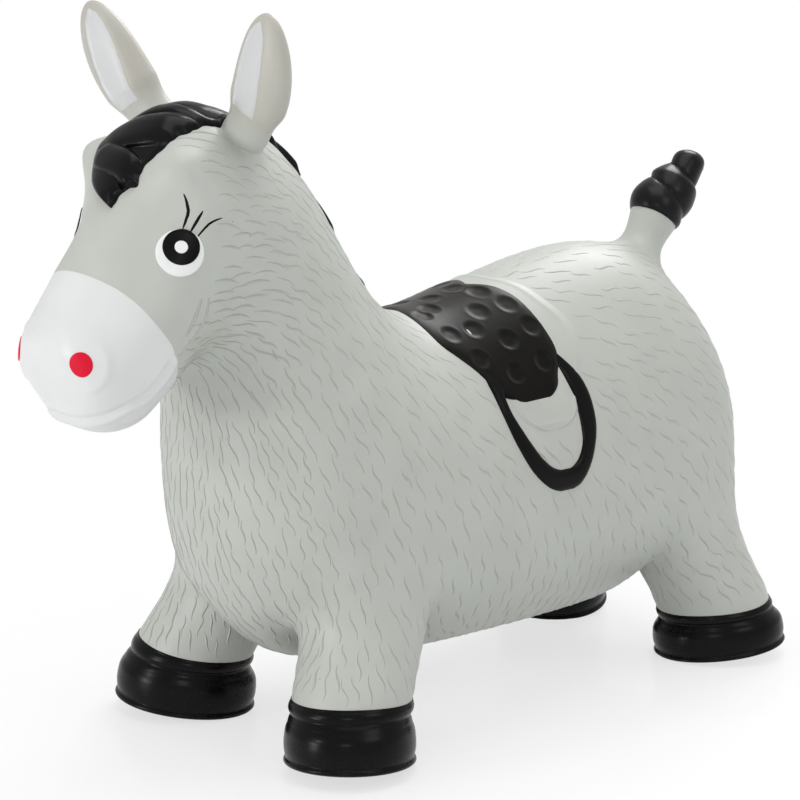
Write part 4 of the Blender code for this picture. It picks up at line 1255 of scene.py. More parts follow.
@dataclass
class Chart:
    """A patch of the skin read by rays on a regular grid and smoothly between them.

    Between its grid points the patch is Catmull-Rom in both directions.
    """

    first: Pair
    last: Pair
    points: Array
    normals: Array
    shift: float

    @classmethod
    def measure(cls, skin: DonkeySkin, ray: Callable[[Array, Array], tuple[Array, Array]],
                first: Pair, last: Pair,
                shape: tuple[int, int]) -> Chart:
        """Measure a chart.

        Args:
            skin: The skin that the rays meet.
            ray: Gives cores and directions for arrays of the two coordinates.
            first: Lowest values of the two coordinates.
            last: Highest values of the two coordinates.
            shape: How many rays along each coordinate.

        Returns:
            The chart, its normals the cross product of the grid's central differences.
        """
        u, v = np.meshgrid(np.linspace(first[0], last[0], shape[0]),
                           np.linspace(first[1], last[1], shape[1]), indexing="ij")
        cores, ways = ray(u, v)
        points, _ = skin.outer_hits(cores, ways)
        along, across = np.gradient(points, axis=0), np.gradient(points, axis=1)
        normals = unit(np.cross(along, across))
        turn = np.sign(np.sum(normals * np.broadcast_to(ways, normals.shape), -1, keepdims=True))
        return cls(first, last, points, normals * turn, skin.shift)

    @staticmethod
    def weights(t: Array) -> tuple[Array, ...]:
        """The four Catmull-Rom weights at a share t of the way between the middle two."""
        return ((-t + 2 * t**2 - t**3) / 2, (2 - 5 * t**2 + 3 * t**3) / 2,
                (t + 4 * t**2 - 3 * t**3) / 2, (-(t**2) + t**3) / 2)

    def at(self, u: Array, v: Array, lift: Array | float = 0.0) -> Array:
        """Points of the patch.

        Args:
            u: The first coordinate.
            v: The second coordinate.
            lift: How far the points are lifted along the normals.

        Returns:
            The points, of the shape of the coordinates by 3.
        """
        u, v, lift = np.broadcast_arrays(np.asarray(u, float), np.asarray(v, float), lift)
        rows, columns = self.points.shape[:2]
        a = (u - self.first[0]) / (self.last[0] - self.first[0]) * (rows - 1)
        b = (v - self.first[1]) / (self.last[1] - self.first[1]) * (columns - 1)
        i = np.clip(np.floor(a).astype(int), 1, rows - 3)
        j = np.clip(np.floor(b).astype(int), 1, columns - 3)
        down, over = self.weights(np.clip(a - i, -1, 2)), self.weights(np.clip(b - j, -1, 2))
        spot, normal = np.zeros((*u.shape, 3)), np.zeros((*u.shape, 3))
        for k in range(4):
            for m in range(4):
                share = (down[k] * over[m])[..., None]
                spot += share * self.points[i + k - 1, j + m - 1]
                normal += share * self.normals[i + k - 1, j + m - 1]
        return spot + unit(normal) * lift[..., None]

    def pad(self, name: str, u: Array, v: Array, height: Array,
            sink: float = 0.0006) -> Mesh:
        """A closed pad: its top at a height grid, its underside sunk into the skin."""
        layers = [self.at(u, v, lift).reshape(-1, 3) for lift in (height, -sink)]
        return make_mesh(name, np.vstack(layers), slab_faces(*u.shape), self.shift)

    def disc(self, name: str, centre: Pair, radius: float,
             profile: tuple[Pair, ...], sides: int = 72) -> Mesh:
        """A closed round pad of rings, whose first and last are closed by a pole.

        Args:
            name: The mesh's name.
            centre: Its middle's two coordinates.
            radius: Its radius.
            profile: Share of the radius and height above the skin of each ring.
            sides: How many points a ring has.

        Returns:
            The mesh.
        """
        share, height = np.array(profile).T
        angle = angles(sides)
        u = centre[0] + radius * share[:, None] * np.cos(angle)
        v = centre[1] + radius * share[:, None] * np.sin(angle)
        rings = self.at(u, v, height[:, None]).reshape(-1, 3)
        poles = self.at(np.full(2, centre[0]), np.full(2, centre[1]), height[[0, -1]])
        return make_mesh(name, np.vstack((rings, poles)), turned_faces(len(share), sides),
                         self.shift)


def dome_profile(base: float, top: float, steps: int = 6) -> tuple[Pair, ...]:
    """Rings of a paint disc: flat, then a quarter of an ellipse down to an underside.

    Args:
        base: Height of its edge.
        top: Height of its flat top.
        steps: How many rings round off the edge.

    Returns:
        Share of the radius and height of each ring.
    """
    edge, under = 0.92, base - 0.0006
    rings = [(share, top) for share in (0.25, 0.55, 0.80)]
    rings += [(edge + (1.0 - edge) * math.sin(a), base + (top - base) * math.cos(a))
              for a in np.linspace(0.0, math.pi / 2.0, steps)]
    return (*rings, (1.0, under), (0.5, under))


def strands_mesh(name: str, paths: Array, normals: Array, width: Array, height: Array,
                 shift: float, sink: float = 0.00012) -> Mesh:
    """Thin ridges along paths on the skin, all in one mesh of closed four-sided strands.

    With t the path's direction, n the normal and a = n x t, the four corners of a section are
    p + w a - s n, p + h n, p - w a - s n and p - 3 s n; each end closes on a point. The
    attribute "across" is 0 at one edge, 0.5 on the ridge and 1 at the other edge.

    Args:
        name: The mesh's name.
        paths: Points, strands by steps by 3.
        normals: The skin's normals there.
        width: Half widths, strands by steps.
        height: Heights of the ridge, strands by steps.
        shift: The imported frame's place along Y.
        sink: How far the edges lie under the skin.

    Returns:
        The mesh.
    """
    count, steps = paths.shape[:2]
    along = unit(np.gradient(paths, axis=1))
    side = unit(np.cross(normals, along)) * width[..., None]
    down = normals * sink
    ring = np.stack((paths + side - down, paths + normals * height[..., None],
                     paths - side - down, paths - 3.0 * down), axis=2)
    first = paths[:, :1] - along[:, :1] * width[:, :1, None] - down[:, :1]
    last = paths[:, -1:] + along[:, -1:] * width[:, -1:, None] - down[:, -1:]
    points = np.concatenate((ring.reshape(count, -1, 3), first, last), axis=1)
    pattern = turned_faces(steps, 4)
    quads = np.array([face for face in pattern if len(face) == 4])
    caps = np.array([face for face in pattern if len(face) == 3])
    offset = (np.arange(count) * (steps * 4 + 2))[:, None, None]
    faces = (quads + offset).reshape(-1, 4).tolist() + (caps + offset).reshape(-1, 3).tolist()
    mesh = make_mesh(name, points.reshape(-1, 3), faces, shift)
    across = np.concatenate((np.tile((0.0, 0.5, 1.0, 0.5), steps), (0.5, 0.5)))
    mark = mesh.attributes.new("across", "FLOAT", "POINT")
    mark.data.foreach_set("value", np.tile(across, count))
    return mesh


@dataclass(frozen=True)
class Lock:
    """One lock of hair in a chart: a line through (u, v) places, half widths and height."""

    places: tuple[Pair, ...]
    start: float
    end: float
    height: float

    def rise(self, u: Array, v: Array, scale: float) -> Array:
        """Height of the lock, h sqrt(1 - (d / w)^3) with a fine ridge along its edge.

        The distance d is measured with u scaled to metres, and the half width w runs from
        its start to its end along the line, by the cube of the way.

        Args:
            u: The chart's first coordinate.
            v: The chart's second coordinate.
            scale: Metres for one of the first coordinate.

        Returns:
            The height, of the shape of the coordinates.
        """
        line = resample(np.array(self.places), 30) * np.array((scale, 1.0))
        spots = np.stack((u * scale, v), -1).reshape(-1, 2)
        best, tall = np.full(len(spots), 4.0), np.ones(len(spots))
        for i in range(len(line) - 1):
            step = line[i + 1] - line[i]
            share = np.clip((spots - line[i]) @ step / (step @ step), 0.0, 1.0)
            gap = np.linalg.norm(spots - line[i] - share[:, None] * step, axis=1)
            way = (i + share) / (len(line) - 1)
            swell = gap / (self.start + (self.end - self.start) * way**3)
            tall = np.where(swell < best, 1.0 - 0.5 * ease(way, 0.70, 1.0), tall)
            best = np.minimum(best, swell)
        dome = np.sqrt(np.clip(1.0 - best**3, 0.0, 1.0)) + 0.07 * bell(best, 0.90, 0.05)
        return (self.height * tall * dome).reshape(u.shape)


def crowd(count: int) -> Array:
    """Places from -1 to 1 that crowd together at both ends, sin(pi t / 2)."""
    return np.sin(np.linspace(-math.pi / 2.0, math.pi / 2.0, count))


def edged(across: Array, edge: float = 0.10, power: float = 8.0) -> Array:
    """Share of a pad's height: edge + (1 - edge)(1 - |b|^p), so full inside and low at rims."""
    return edge + (1.0 - edge) * (1.0 - np.minimum(1.0, np.abs(across)) ** power)


@dataclass
class Assembly:
    """Something that lies on the skin or grows out of it."""

    skin: DonkeySkin


# The saddle, its blanket's relief and the stirrup bands


@dataclass
class Saddlery(Assembly):
    """The saddle pad with its dimples, the grey relief round it and the two stirrup bands."""

    axis_height: float = 0.170688
    saddle_reach: float = math.radians(58.9)
    saddle_height: float = 0.0024
    dimple_depth: float = 0.0012
    dimple_size: Pair = (0.0055, 0.0070)
    blanket_reach: float = math.radians(71.1)
    blanket_height: float = 0.0011
    band_height: float = 0.0023
    band_low: float = 0.0014
    # Angles down from the spine over which a band rises from its low to its full height
    band_climb: Pair = (45.0, 54.0)
    # y of the front and rear edges of the saddle at angles down from the spine
    saddle_front: tuple = ((0.0, -0.0610), (10.0, -0.0658), (20.0, -0.0672), (28.0, -0.0655),
                           (35.0, -0.0575), (41.0, -0.0500), (46.0, -0.0450), (50.4, -0.0409),
                           (54.5, -0.0345), (57.3, -0.0240), (58.5, -0.0145), (58.9, -0.0066))
    saddle_rear: tuple = ((0.0, 0.0105), (8.0, 0.0188), (16.6, 0.0235), (26.8, 0.0252),
                          (35.3, 0.0260), (41.0, 0.0258), (46.0, 0.0228), (50.2, 0.0182),
                          (54.5, 0.0142), (57.3, 0.0072), (58.5, 0.0000), (58.9, -0.0060))
    blanket_front: tuple = ((0.0, -0.0400), (40.0, -0.0420), (50.0, -0.0375), (57.0, -0.0320),
                            (62.0, -0.0290), (65.4, -0.0249), (69.4, -0.0132), (71.1, 0.0))
    blanket_rear: tuple = ((0.0, 0.0285), (4.1, 0.0296), (12.5, 0.0362), (22.6, 0.0414),
                           (29.6, 0.0467), (36.5, 0.0490), (44.9, 0.0463), (52.7, 0.0377),
                           (60.0, 0.0300), (65.2, 0.0255), (69.1, 0.0155), (71.1, 0.0))
    dimples: tuple = ((0.0, -0.0032), (8.5, 0.0030), (19.4, 0.0101), (0.0, -0.0269),
                      (7.2, -0.0424), (17.9, -0.0143), (11.0, -0.0558), (24.9, -0.0303),
                      (30.8, 0.0142), (24.5, -0.0514), (33.3, -0.0100), (37.8, -0.0424),
                      (44.7, 0.0087), (46.6, -0.0186))
    band_outer: tuple = ((39.0, -0.0400), (44.9, -0.0449), (53.0, -0.0441), (62.7, -0.0418),
                         (73.2, -0.0371), (83.6, -0.0280), (90.6, -0.0160), (93.8, -0.0040),
                         (94.1, 0.0090), (91.8, 0.0200), (84.8, 0.0305), (74.0, 0.0385),
                         (64.5, 0.0400), (56.6, 0.0382), (50.4, 0.0336), (44.0, 0.0260),
                         (39.0, 0.0180))
    band_inner: tuple = ((46.0, -0.0280), (53.2, -0.0345), (58.5, -0.0350), (64.0, -0.0325),
                         (72.8, -0.0250), (80.5, -0.0160), (85.3, -0.0050), (86.2, 0.0080),
                         (83.2, 0.0175), (78.0, 0.0232), (72.7, 0.0248), (65.0, 0.0250),
                         (59.5, 0.0236), (54.9, 0.0218), (50.0, 0.0200), (46.0, 0.0180))

    def chart(self) -> Chart:
        """The trunk's middle, by the angle down from the spine and by y.

        Returns:
            The chart.
        """
        def ray(angle: Array, along: Array) -> tuple[Array, Array]:
            """Rays out of the trunk's axis, x = sin a and z = cos a."""
            return (vectors(0.0, along, self.axis_height),
                    vectors(np.sin(angle), 0.0, np.cos(angle)))
        reach = math.radians(102.0)
        return Chart.measure(self.skin, ray, (-reach, -0.080), (reach, 0.065), (103, 59))

    @staticmethod
    def edge(table: tuple, angle: Array) -> Array:
        """An edge's y at the size of an angle, along a smooth line through its table."""
        line = resample(np.array(table), 200)
        return np.interp(np.degrees(np.abs(angle)), np.maximum.accumulate(line[:, 0]), line[:, 1])

    def pad(self, reach: float, front: tuple, rear: tuple,
            shape: tuple[int, int]) -> tuple[Array, ...]:
        """Grids over a pad between two edges.

        Args:
            reach: The pad's angle down from the spine.
            front: Its front edge's table.
            rear: Its rear edge's table.
            shape: Rows and columns.

        Returns:
            Shares a and b from -1 to 1, then angle and y.
        """
        a, b = np.meshgrid(crowd(shape[0]), crowd(shape[1]), indexing="ij")
        angle = a * reach * 0.9995
        return a, b, angle, span(self.edge(front, angle), self.edge(rear, angle), b)

    def build(self) -> None:
        """Make the saddle, the blanket's relief and both bands."""
        chart = self.chart()
        rows, columns = ((170, 110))
        a, b, angle, y = self.pad(self.saddle_reach, self.saddle_front, self.saddle_rear,
                                  (rows, columns))
        rim = np.maximum(np.abs(a) ** 3.0, np.abs(b))
        height = self.saddle_height * edged(rim, 0.12, 9.0)
        height = height - self.dimple_relief(angle, y) * (1.0 - np.abs(rim) ** 6.0)
        place_piece(chart.pad("saddle_pad", angle, y, height), SADDLE_BLACK, ("saddle",))
        a, b, angle, y = self.pad(self.blanket_reach, self.blanket_front, self.blanket_rear,
                                  (rows, columns // 2))
        rim = np.maximum(np.abs(a) ** 4.0, np.abs(b))
        height = self.blanket_height * (1.0 - rim**14.0) + 0.0005 * bell(rim, 0.84, 0.045) - 0.0001
        place_piece(chart.pad("blanket_relief", angle, y, height, 0.0008), GREY_SKIN)
        for name, side in SIDES.items():
            self.band(chart, name, side)

    def dimple_relief(self, angle: Array, y: Array) -> Array:
        """Depth of the dimples: d exp(-r^6) less a fine rim 0.16 d exp(-((r - 1.22) / 0.16)^2).

        The distance r is a dimple's own, in half axes, and the dimples repeat on both sides.

        Args:
            angle: Angles down from the spine.
            y: Places along the trunk.

        Returns:
            The depth, of the same shape.
        """
        depth, radius = np.zeros_like(angle), 0.088
        for down, along in self.dimples:
            for side in ((1.0, -1.0) if down > 0.0 else (1.0,)):
                across = (angle - side * math.radians(down)) * radius / self.dimple_size[0]
                r = np.hypot(across, (y - along) / self.dimple_size[1])
                depth += np.exp(-(r**6.0)) - 0.16 * bell(r, 1.22, 0.16)
        return self.dimple_depth * depth

    def band(self, chart: Chart, name: str, side: float) -> None:
        """One stirrup band, ruled between its outer and inner outlines.

        Args:
            chart: The trunk's middle.
            name: The side's name.
            side: The side's sign in x.
        """
        steps = 180
        outer, inner = (resample(np.array(edge), steps)
                        for edge in (self.band_outer, self.band_inner))
        b = crowd(14)[None, :]
        way = (b + 1.0) / 2.0
        angle = np.radians(inner[:, :1] * (1.0 - way) + outer[:, :1] * way) * side
        y = inner[:, 1:] * (1.0 - way) + outer[:, 1:] * way
        climb = ease(np.degrees(np.abs(angle)), *self.band_climb)
        height = (self.band_low + (self.band_height - self.band_low) * climb) * edged(b, 0.15, 5.0)
        place_piece(chart.pad(f"stirrup_band_{name}", angle, y, height), BLACK_PAINT,
                    (f"stirrup_{name}",))


# The hair


@dataclass
class Hairdo(Assembly):
    """The black forelock over the brow and the mane down the crest."""

    thickness: float = 0.0030
    # Locks of the forelock: degrees forward from upright about the head's core, and x
    forelock: tuple[Lock, ...] = (
        Lock(((-32.0, 0.0255), (-20.0, 0.0250), (-12.0, 0.0120), (-8.0, -0.0040), (-6.0, -0.0230)),
             0.0080, 0.0085, 0.0032),
        Lock(((-20.0, 0.0300), (-9.0, 0.0280), (-2.5, 0.0140), (0.5, -0.0020), (4.0, -0.0240)),
             0.0060, 0.0062, 0.0038),
        Lock(((0.0, 0.0370), (7.0, 0.0250), (13.0, 0.0090), (16.5, -0.0060), (21.0, -0.0180),
              (29.0, -0.0300)), 0.0135, 0.0125, 0.0048),
        Lock(((12.0, 0.0350), (24.0, 0.0300), (36.0, 0.0230)), 0.0100, 0.0080, 0.0036),
        Lock(((32.0, -0.0150), (33.5, -0.0080), (35.0, 0.0030), (38.0, 0.0130), (46.5, 0.0236)),
             0.0128, 0.0024, 0.0064),
        Lock(((34.0, -0.0260), (42.0, -0.0150), (51.0, 0.0000), (61.0, 0.0125)),
             0.0120, 0.0110, 0.0040),
    )
    right_edge: tuple = ((-34.0, 0.0270), (-26.0, 0.0285), (-16.0, 0.0292), (-6.0, 0.0295),
                         (5.1, 0.0289), (13.6, 0.0287), (20.7, 0.0268), (31.9, 0.0225),
                         (40.0, 0.0204), (45.0, 0.0215), (47.5, 0.0170), (55.0, 0.0132),
                         (62.3, 0.0098))
    left_edge: tuple = ((-34.0, -0.0240), (-16.0, -0.0300), (0.0, -0.0330), (15.0, -0.0340),
                        (30.0, -0.0320), (40.0, -0.0280), (47.0, -0.0225), (53.0, -0.0130),
                        (58.0, -0.0015), (62.3, 0.0092))
    head_core: Pair = (-0.423, 0.793)
    neck_core: Pair = (-0.292, 0.518)
    forelock_degrees: Pair = (-30.0, 62.3)
    mane_angles: Pair = (math.radians(4.0), math.radians(50.0))
    mane_half: float = 0.0215
    # The mane's leaves: way down the crest, half length and height
    leaves: tuple = ((0.36, 0.055, 0.0052), (0.475, 0.060, 0.0054), (0.60, 0.045, 0.0022),
                     (0.70, 0.065, 0.0058), (0.79, 0.045, 0.0052), (0.915, 0.070, 0.0060))

    def build(self) -> None:
        """Make the forelock and the mane."""
        self.make_forelock()
        self.make_mane()

    def make_forelock(self) -> None:
        """The forelock: a pad between two edges whose height is the highest of its locks."""
        core = self.skin.middle_point(self.head_core)

        def ray(angle: Array, x: Array) -> tuple[Array, Array]:
            """Rays out of the head's core, leaning forward by an angle."""
            return core + vectors(x, 0.0, 0.0), vectors(0.0, -np.sin(angle), np.cos(angle))
        chart = Chart.measure(self.skin, ray, (math.radians(-36.0), -0.040),
                              (math.radians(68.0), 0.036), (53, 39))
        rows, columns = ((230, 150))
        a, b = np.meshgrid(np.linspace(0.0, 1.0, rows) ** 0.9, crowd(columns), indexing="ij")
        start, end = self.forelock_degrees
        degrees = start + (end - start) * a
        right, left = (resample(np.array(edge), 200) for edge in (self.right_edge, self.left_edge))
        high = look_up(right, degrees)
        high = high + 0.0015 * np.abs(np.sin(degrees * 0.26)) * np.sin(degrees * 0.31 + 1.0)
        x = span(look_up(left, degrees), high, b)
        metres = math.radians(1.0) * 0.082
        locks = np.max([lock.rise(degrees, x, metres) for lock in self.forelock], axis=0)
        height = (self.thickness * 0.35 + locks) * edged(b, 0.05, 6.0) * ease(1.0 - a, -0.02, 0.03)
        place_piece(chart.pad("forelock_locks", np.radians(degrees), x, height), HAIR_BLACK,
                    ("forelock",))

    def make_mane(self) -> None:
        """The mane: leaf-shaped locks in two staggered rows, laid over one another."""
        start, end = self.skin.middle_point(self.head_core), self.skin.middle_point(self.neck_core)
        low, high = self.mane_angles

        def ray(way: Array, x: Array) -> tuple[Array, Array]:
            """Rays that leave the crest, from the head's core to the neck's."""
            angle = low + (high - low) * way
            cores = start + (end - start) * way[..., None] + vectors(x, 0.0, 0.0)
            return cores, vectors(0.0, np.sin(angle), np.cos(angle))
        chart = Chart.measure(self.skin, ray, (-0.05, -0.030), (1.05, 0.030), (67, 31))
        length = float(np.sum(np.linalg.norm(np.diff(chart.points[:, 15], axis=0), axis=1))) / 1.1
        rows, columns = ((240, 50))
        way, b = np.meshgrid(np.linspace(0.0, 1.0, rows), crowd(columns), indexing="ij")
        x = self.mane_half * b
        height = 0.0016 - 0.0022 * np.minimum((np.abs(x) / 0.0125) ** 4, 1.0)
        for middle, half, tall in self.leaves:
            for side in SIDES.values():
                m = middle + (0.0 if side > 0.0 else 0.05)
                leaf = Lock(((m - 1.2 * half, side * 0.0030), (m - 0.3 * half, side * 0.0110),
                             (m + 0.5 * half, side * 0.0152), (m + half, side * 0.0162)),
                            0.0048, 0.0012, tall)
                height = np.maximum(height, leaf.rise(way, x, length) - 0.0006)
        ends = ease(way, -0.01, 0.02) * (1.0 - ease(way, 0.98, 1.0)) * (1.0 - np.abs(b) ** 12.0)
        height = (height + 0.0005) * ends - 0.0005
        place_piece(chart.pad("mane_locks", way, x, height), HAIR_BLACK, ("mane",))


# The face and the ears' linings


@dataclass
class Face(Assembly):
    """Eyes with lashes, nostrils, cheek creases and the ears' linings."""

    eye_core: Pair = (-0.4259, 0.7666)
    eye_turn: Pair = (math.radians(60.5), math.radians(12.0))
    # How much further back the left and the right eye sit, with their lashes
    far_back: Pair = (0.0, 0.011)
    # The share of a paint disc's rise that the left and the right eye keep
    disc_rise: Pair = (1.0, 0.4)
    eye_radius: float = 0.0150
    iris_radius: float = 0.0114
    glint_radius: float = 0.0040
    iris_rise: float = 0.0035
    iris_along: float = 0.0010
    nostril_core: Pair = (-0.494, 0.649)
    nostril_turn: Pair = (math.radians(32.7), math.radians(38.5))
    lining_flare: Pair = (0.0, 0.0012)
    nostril_radius: float = 0.0080
    lashes: tuple = (
        (((0.0562, -0.2937, 0.3724), (0.0561, -0.2907, 0.3780), (0.0558, -0.2887, 0.3821),
          (0.0537, -0.2878, 0.3875), (0.0505, -0.2875, 0.3928)), 0.00155),
        (((0.0594, -0.2904, 0.3696), (0.0603, -0.2853, 0.3766), (0.0608, -0.2808, 0.3825)),
         0.00140),
        (((0.0620, -0.2872, 0.3664), (0.0638, -0.2802, 0.3733), (0.0650, -0.2755, 0.3761),
          (0.0661, -0.2699, 0.3776)), 0.00110),
    )
    creases: tuple = (
        (((0.0633, -0.2849, 0.3273), (0.0608, -0.2890, 0.3148), (0.0587, -0.2942, 0.3045)),
         0.00150),
        (((0.0635, -0.2791, 0.3273), (0.0594, -0.2795, 0.3134), (0.0567, -0.2877, 0.3007),
          (0.0563, -0.2993, 0.2928)), 0.00160),
    )

    def build(self) -> None:
        """Make both sides of the face."""
        for name, side in SIDES.items():
            self.make_eye(name, side)
            self.make_nostril(name, side)
            self.make_lining(name, side)
            place_piece(self.lines(f"lashes_{name}", side, self.lashes, 0.00025),
                        PUPIL_BLACK)
            # The creases carry the hair lines' painted shade and painted highlight
            place_piece(self.lines(f"cheek_creases_{name}", side, self.creases, 0.0010),
                        HAIR_LINE_PAINTED_SHADE)

    def plane_chart(self, core: Array, way: Array, reach: float) -> Chart:
        """A patch of skin seen along one direction, by metres to its right and upwards.

        Args:
            core: A point inside it, behind the patch's middle.
            way: The direction out of it.
            reach: Half the patch's size.

        Returns:
            The chart.
        """
        right = unit(np.cross(UP, way))
        up = np.cross(way, right)

        def ray(u: Array, v: Array) -> tuple[Array, Array]:
            """Parallel rays that leave the plane through the core."""
            return core + u[..., None] * right + v[..., None] * up, np.broadcast_to(way, (*u.shape, 3))
        return Chart.measure(self.skin, ray, (-reach, -reach), (reach, reach), (25, 25))

    def make_eye(self, name: str, side: float) -> None:
        """An eye: white, iris and highlight as three paint discs, one on another.

        Args:
            name: The side's name.
            side: The side's sign in x.
        """
        turn, rise = self.eye_turn
        core = self.skin.middle_point(self.eye_core) - AHEAD * sided(self.far_back, side)
        chart = self.plane_chart(core, heading(side * turn, rise), 0.024)
        middle = (self.iris_along * side, self.iris_rise)
        discs = (("eye_white", (0.0, 0.0), self.eye_radius, -0.0002, 0.0009, EYE_WHITE),
                 ("iris", middle, self.iris_radius, 0.0006, 0.0014, PUPIL_BLACK),
                 ("highlight", middle, self.glint_radius, 0.0012, 0.0019, EYE_WHITE))
        for kind, centre, radius, base, top, finish in discs:
            profile = dome_profile(base, base + sided(self.disc_rise, side) * (top - base))
            place_piece(chart.disc(f"eye_{kind}_disc_{name}", centre, radius, profile), finish,
                        (f"{kind}_{name}",))

    def make_nostril(self, name: str, side: float) -> None:
        """A red paint disc on the nostril's mound.

        Args:
            name: The side's name.
            side: The side's sign in x.
        """
        way = heading(side * sided(self.nostril_turn, side))
        chart = self.plane_chart(self.skin.middle_point(self.nostril_core), way, 0.014)
        mesh = chart.disc(f"nostril_disc_{name}", (0.0, 0.0), self.nostril_radius,
                          dome_profile(-0.0002, 0.0006))
        place_piece(mesh, RED_PAINT, (f"nostril_{name}",))

    def lines(self, name: str, side: float, lines: tuple,
              height: float) -> Mesh:
        """Painted or moulded lines on one side of the face.

        Args:
            name: The mesh's name.
            side: The side's sign in x.
            lines: Each line's points on the left side, and its half width.
            height: The lines' height.

        Returns:
            The mesh.
        """
        steps = 24
        paths = np.stack([resample(np.array(points), steps) for points, _ in lines])
        paths = paths * np.array((side, 1.0, 1.0))
        paths[..., 1] += sided(self.far_back, side)
        spots, normals = self.skin.nearest(paths)
        taper = np.sin(np.linspace(0.12, math.pi - 0.12, steps)) ** 0.35
        width = np.array([half for _, half in lines])[:, None] * taper
        tall = height * np.broadcast_to(taper, width.shape)
        return strands_mesh(name, spots, normals, width, tall, self.skin.shift)

    def make_lining(self, name: str, side: float) -> None:
        """A pale lining in the hollow of an ear, its lower edge straight and slanted.

        Args:
            name: The side's name.
            side: The side's sign in x.
        """
        _, _, sideways, forward = self.skin.ear_frame(side)

        def ray(way: Array, x: Array) -> tuple[Array, Array]:
            """Rays out of the ear's middle plane, forward."""
            return (self.skin.ear_point(side, way) + x[..., None] * sideways,
                    np.broadcast_to(forward, (*way.shape, 3)))
        chart = Chart.measure(self.skin, ray, (0.16, -0.0205), (0.99, 0.0205), (57, 41))
        a, b = np.meshgrid((crowd(72) + 1.0) / 2.0, crowd(44), indexing="ij")
        start = sided(self.skin.ear.lining_start, side)
        way = start + (0.955 - start) * a + 0.006 * b * (1.0 - a)
        outer = look_up(self.skin.ear.outer, way) + sided(self.lining_flare, side) * (1 - a)
        x = span(look_up(self.skin.ear.inner, way), outer, b)
        height = 0.0005 * edged(np.maximum(np.abs(b), np.abs(2.0 * a - 1.0)), 0.1, 8.0)
        place_piece(chart.pad(f"ear_lining_pad_{name}", way, x, height, 0.0004), LINING_WHITE,
                    (f"ear_lining_{name}",), body=f"ear_{name}")


# Hooves and the tail's twist


@dataclass
class Hooves(Assembly):
    """Four hooves, each grown out of the leg it is cast on and worn flat on the floor."""

    # Way down from the top and width beside the hoof's
    profile: tuple = ((0.000, 0.904), (0.020, 0.916), (0.060, 0.930), (0.110, 0.934),
                      (0.150, 0.926), (0.175, 0.912), (0.195, 0.902), (0.220, 0.912),
                      (0.250, 0.930), (0.300, 0.952), (0.400, 0.976),
                      (0.520, 0.991), (0.620, 1.000), (0.720, 1.000), (0.800, 0.990),
                      (0.845, 0.980), (0.862, 0.970), (0.878, 0.976), (0.900, 0.996),
                      (0.930, 1.006), (0.955, 1.000), (0.975, 0.976), (0.990, 0.930),
                      (1.000, 0.840))
    # Height of the paint edge over the top plane, at the toe and at the heel
    edges: tuple = (("front_left", (0.0000, 0.0000)), ("front_right", (0.0034, -0.0022)),
                    ("rear_left", (-0.0028, -0.0010)), ("rear_right", (-0.0010, -0.0010)))
    collar: float = 0.0013
    sides: int = 72

    def build(self) -> None:
        """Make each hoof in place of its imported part."""
        for name, side in SIDES.items():
            for end in ("front", "rear"):
                mesh = self.hoof(f"{end}_{name}", self.skin.leg.frame(side, end == "front"))
                place_piece(mesh, BLACK_PAINT, (f"hoof_{end}_{name}",))

    def leg_radius(self, cores: Array, ways: Array) -> Array:
        """How far the leg's skin lies from points inside it, along rays that leave them."""
        hits = [self.skin.tree.ray_cast(Vector(core), Vector(way))[3]
                for core, way in zip(cores.reshape(-1, 3), ways.reshape(-1, 3))]
        return np.array([0.040 if hit is None else hit for hit in hits]).reshape(cores.shape[:-1])

    def hoof(self, label: str, frame: tuple[Array, ...]) -> Mesh:
        """One hoof: rings that follow the leg at the top and the hoof's own oval below.

        With e the paint edge's height by angle, a ring at a way d down lies e (1 - d)^3 over
        its plane. Its radius runs from the leg's own plus the collar to the oval's.

        Args:
            label: The leg's name.
            frame: Where the leg stands.

        Returns:
            The mesh.
        """
        sole, top, _, _, out, across = frame
        angle = angles(self.sides)
        rings = resample(np.array(self.profile), 64)
        drop, width = np.clip(rings[:, :1], 0.0, 1.0), rings[:, 1:]
        toe, heel = dict(self.edges)[label]
        edge = span(heel, toe, np.cos(angle))[None] + 0.0003 * np.sin(3.0 * angle + 0.7)[None]
        up = unit(top - sole)
        centre = (top + (sole - top) * drop[..., None] + up * (edge * (1.0 - drop) ** 3)[..., None])
        ways = out * np.cos(angle)[:, None] + across * np.sin(angle)[:, None]
        oval = np.hypot(self.skin.leg.hoof_length / 2.0 * np.cos(angle),
                        self.skin.leg.hoof_width / 2.0 * np.sin(angle))[None] * width
        high = int(np.searchsorted(rings[:, 0], 0.34))
        rim = self.leg_radius(centre[:high], np.broadcast_to(ways, (high, self.sides, 3)))
        rim = np.vstack((rim, np.repeat(rim[-1:], len(rings) - high, axis=0)))
        band = rim + self.collar + (width - 0.92) * 0.045
        radius = band + (oval - band) * ease(drop, 0.10, 0.50)
        points = centre + ways * radius[..., None]
        lip = centre[:1] + up * 0.0012 + ways * (rim[:1] - 0.0012)[..., None]
        ledge = centre[:1] + up * 0.0009 + ways * (rim[:1] + 0.0006)[..., None]
        points = np.vstack((lip.reshape(-1, 3), ledge.reshape(-1, 3), points.reshape(-1, 3),
                            top[None], sole[None]))
        points[:, 2] = np.maximum(points[:, 2], 0.0)
        return make_mesh(f"hoof_cast_{label}", points, turned_faces(len(rings) + 2, self.sides),
                         self.skin.shift)


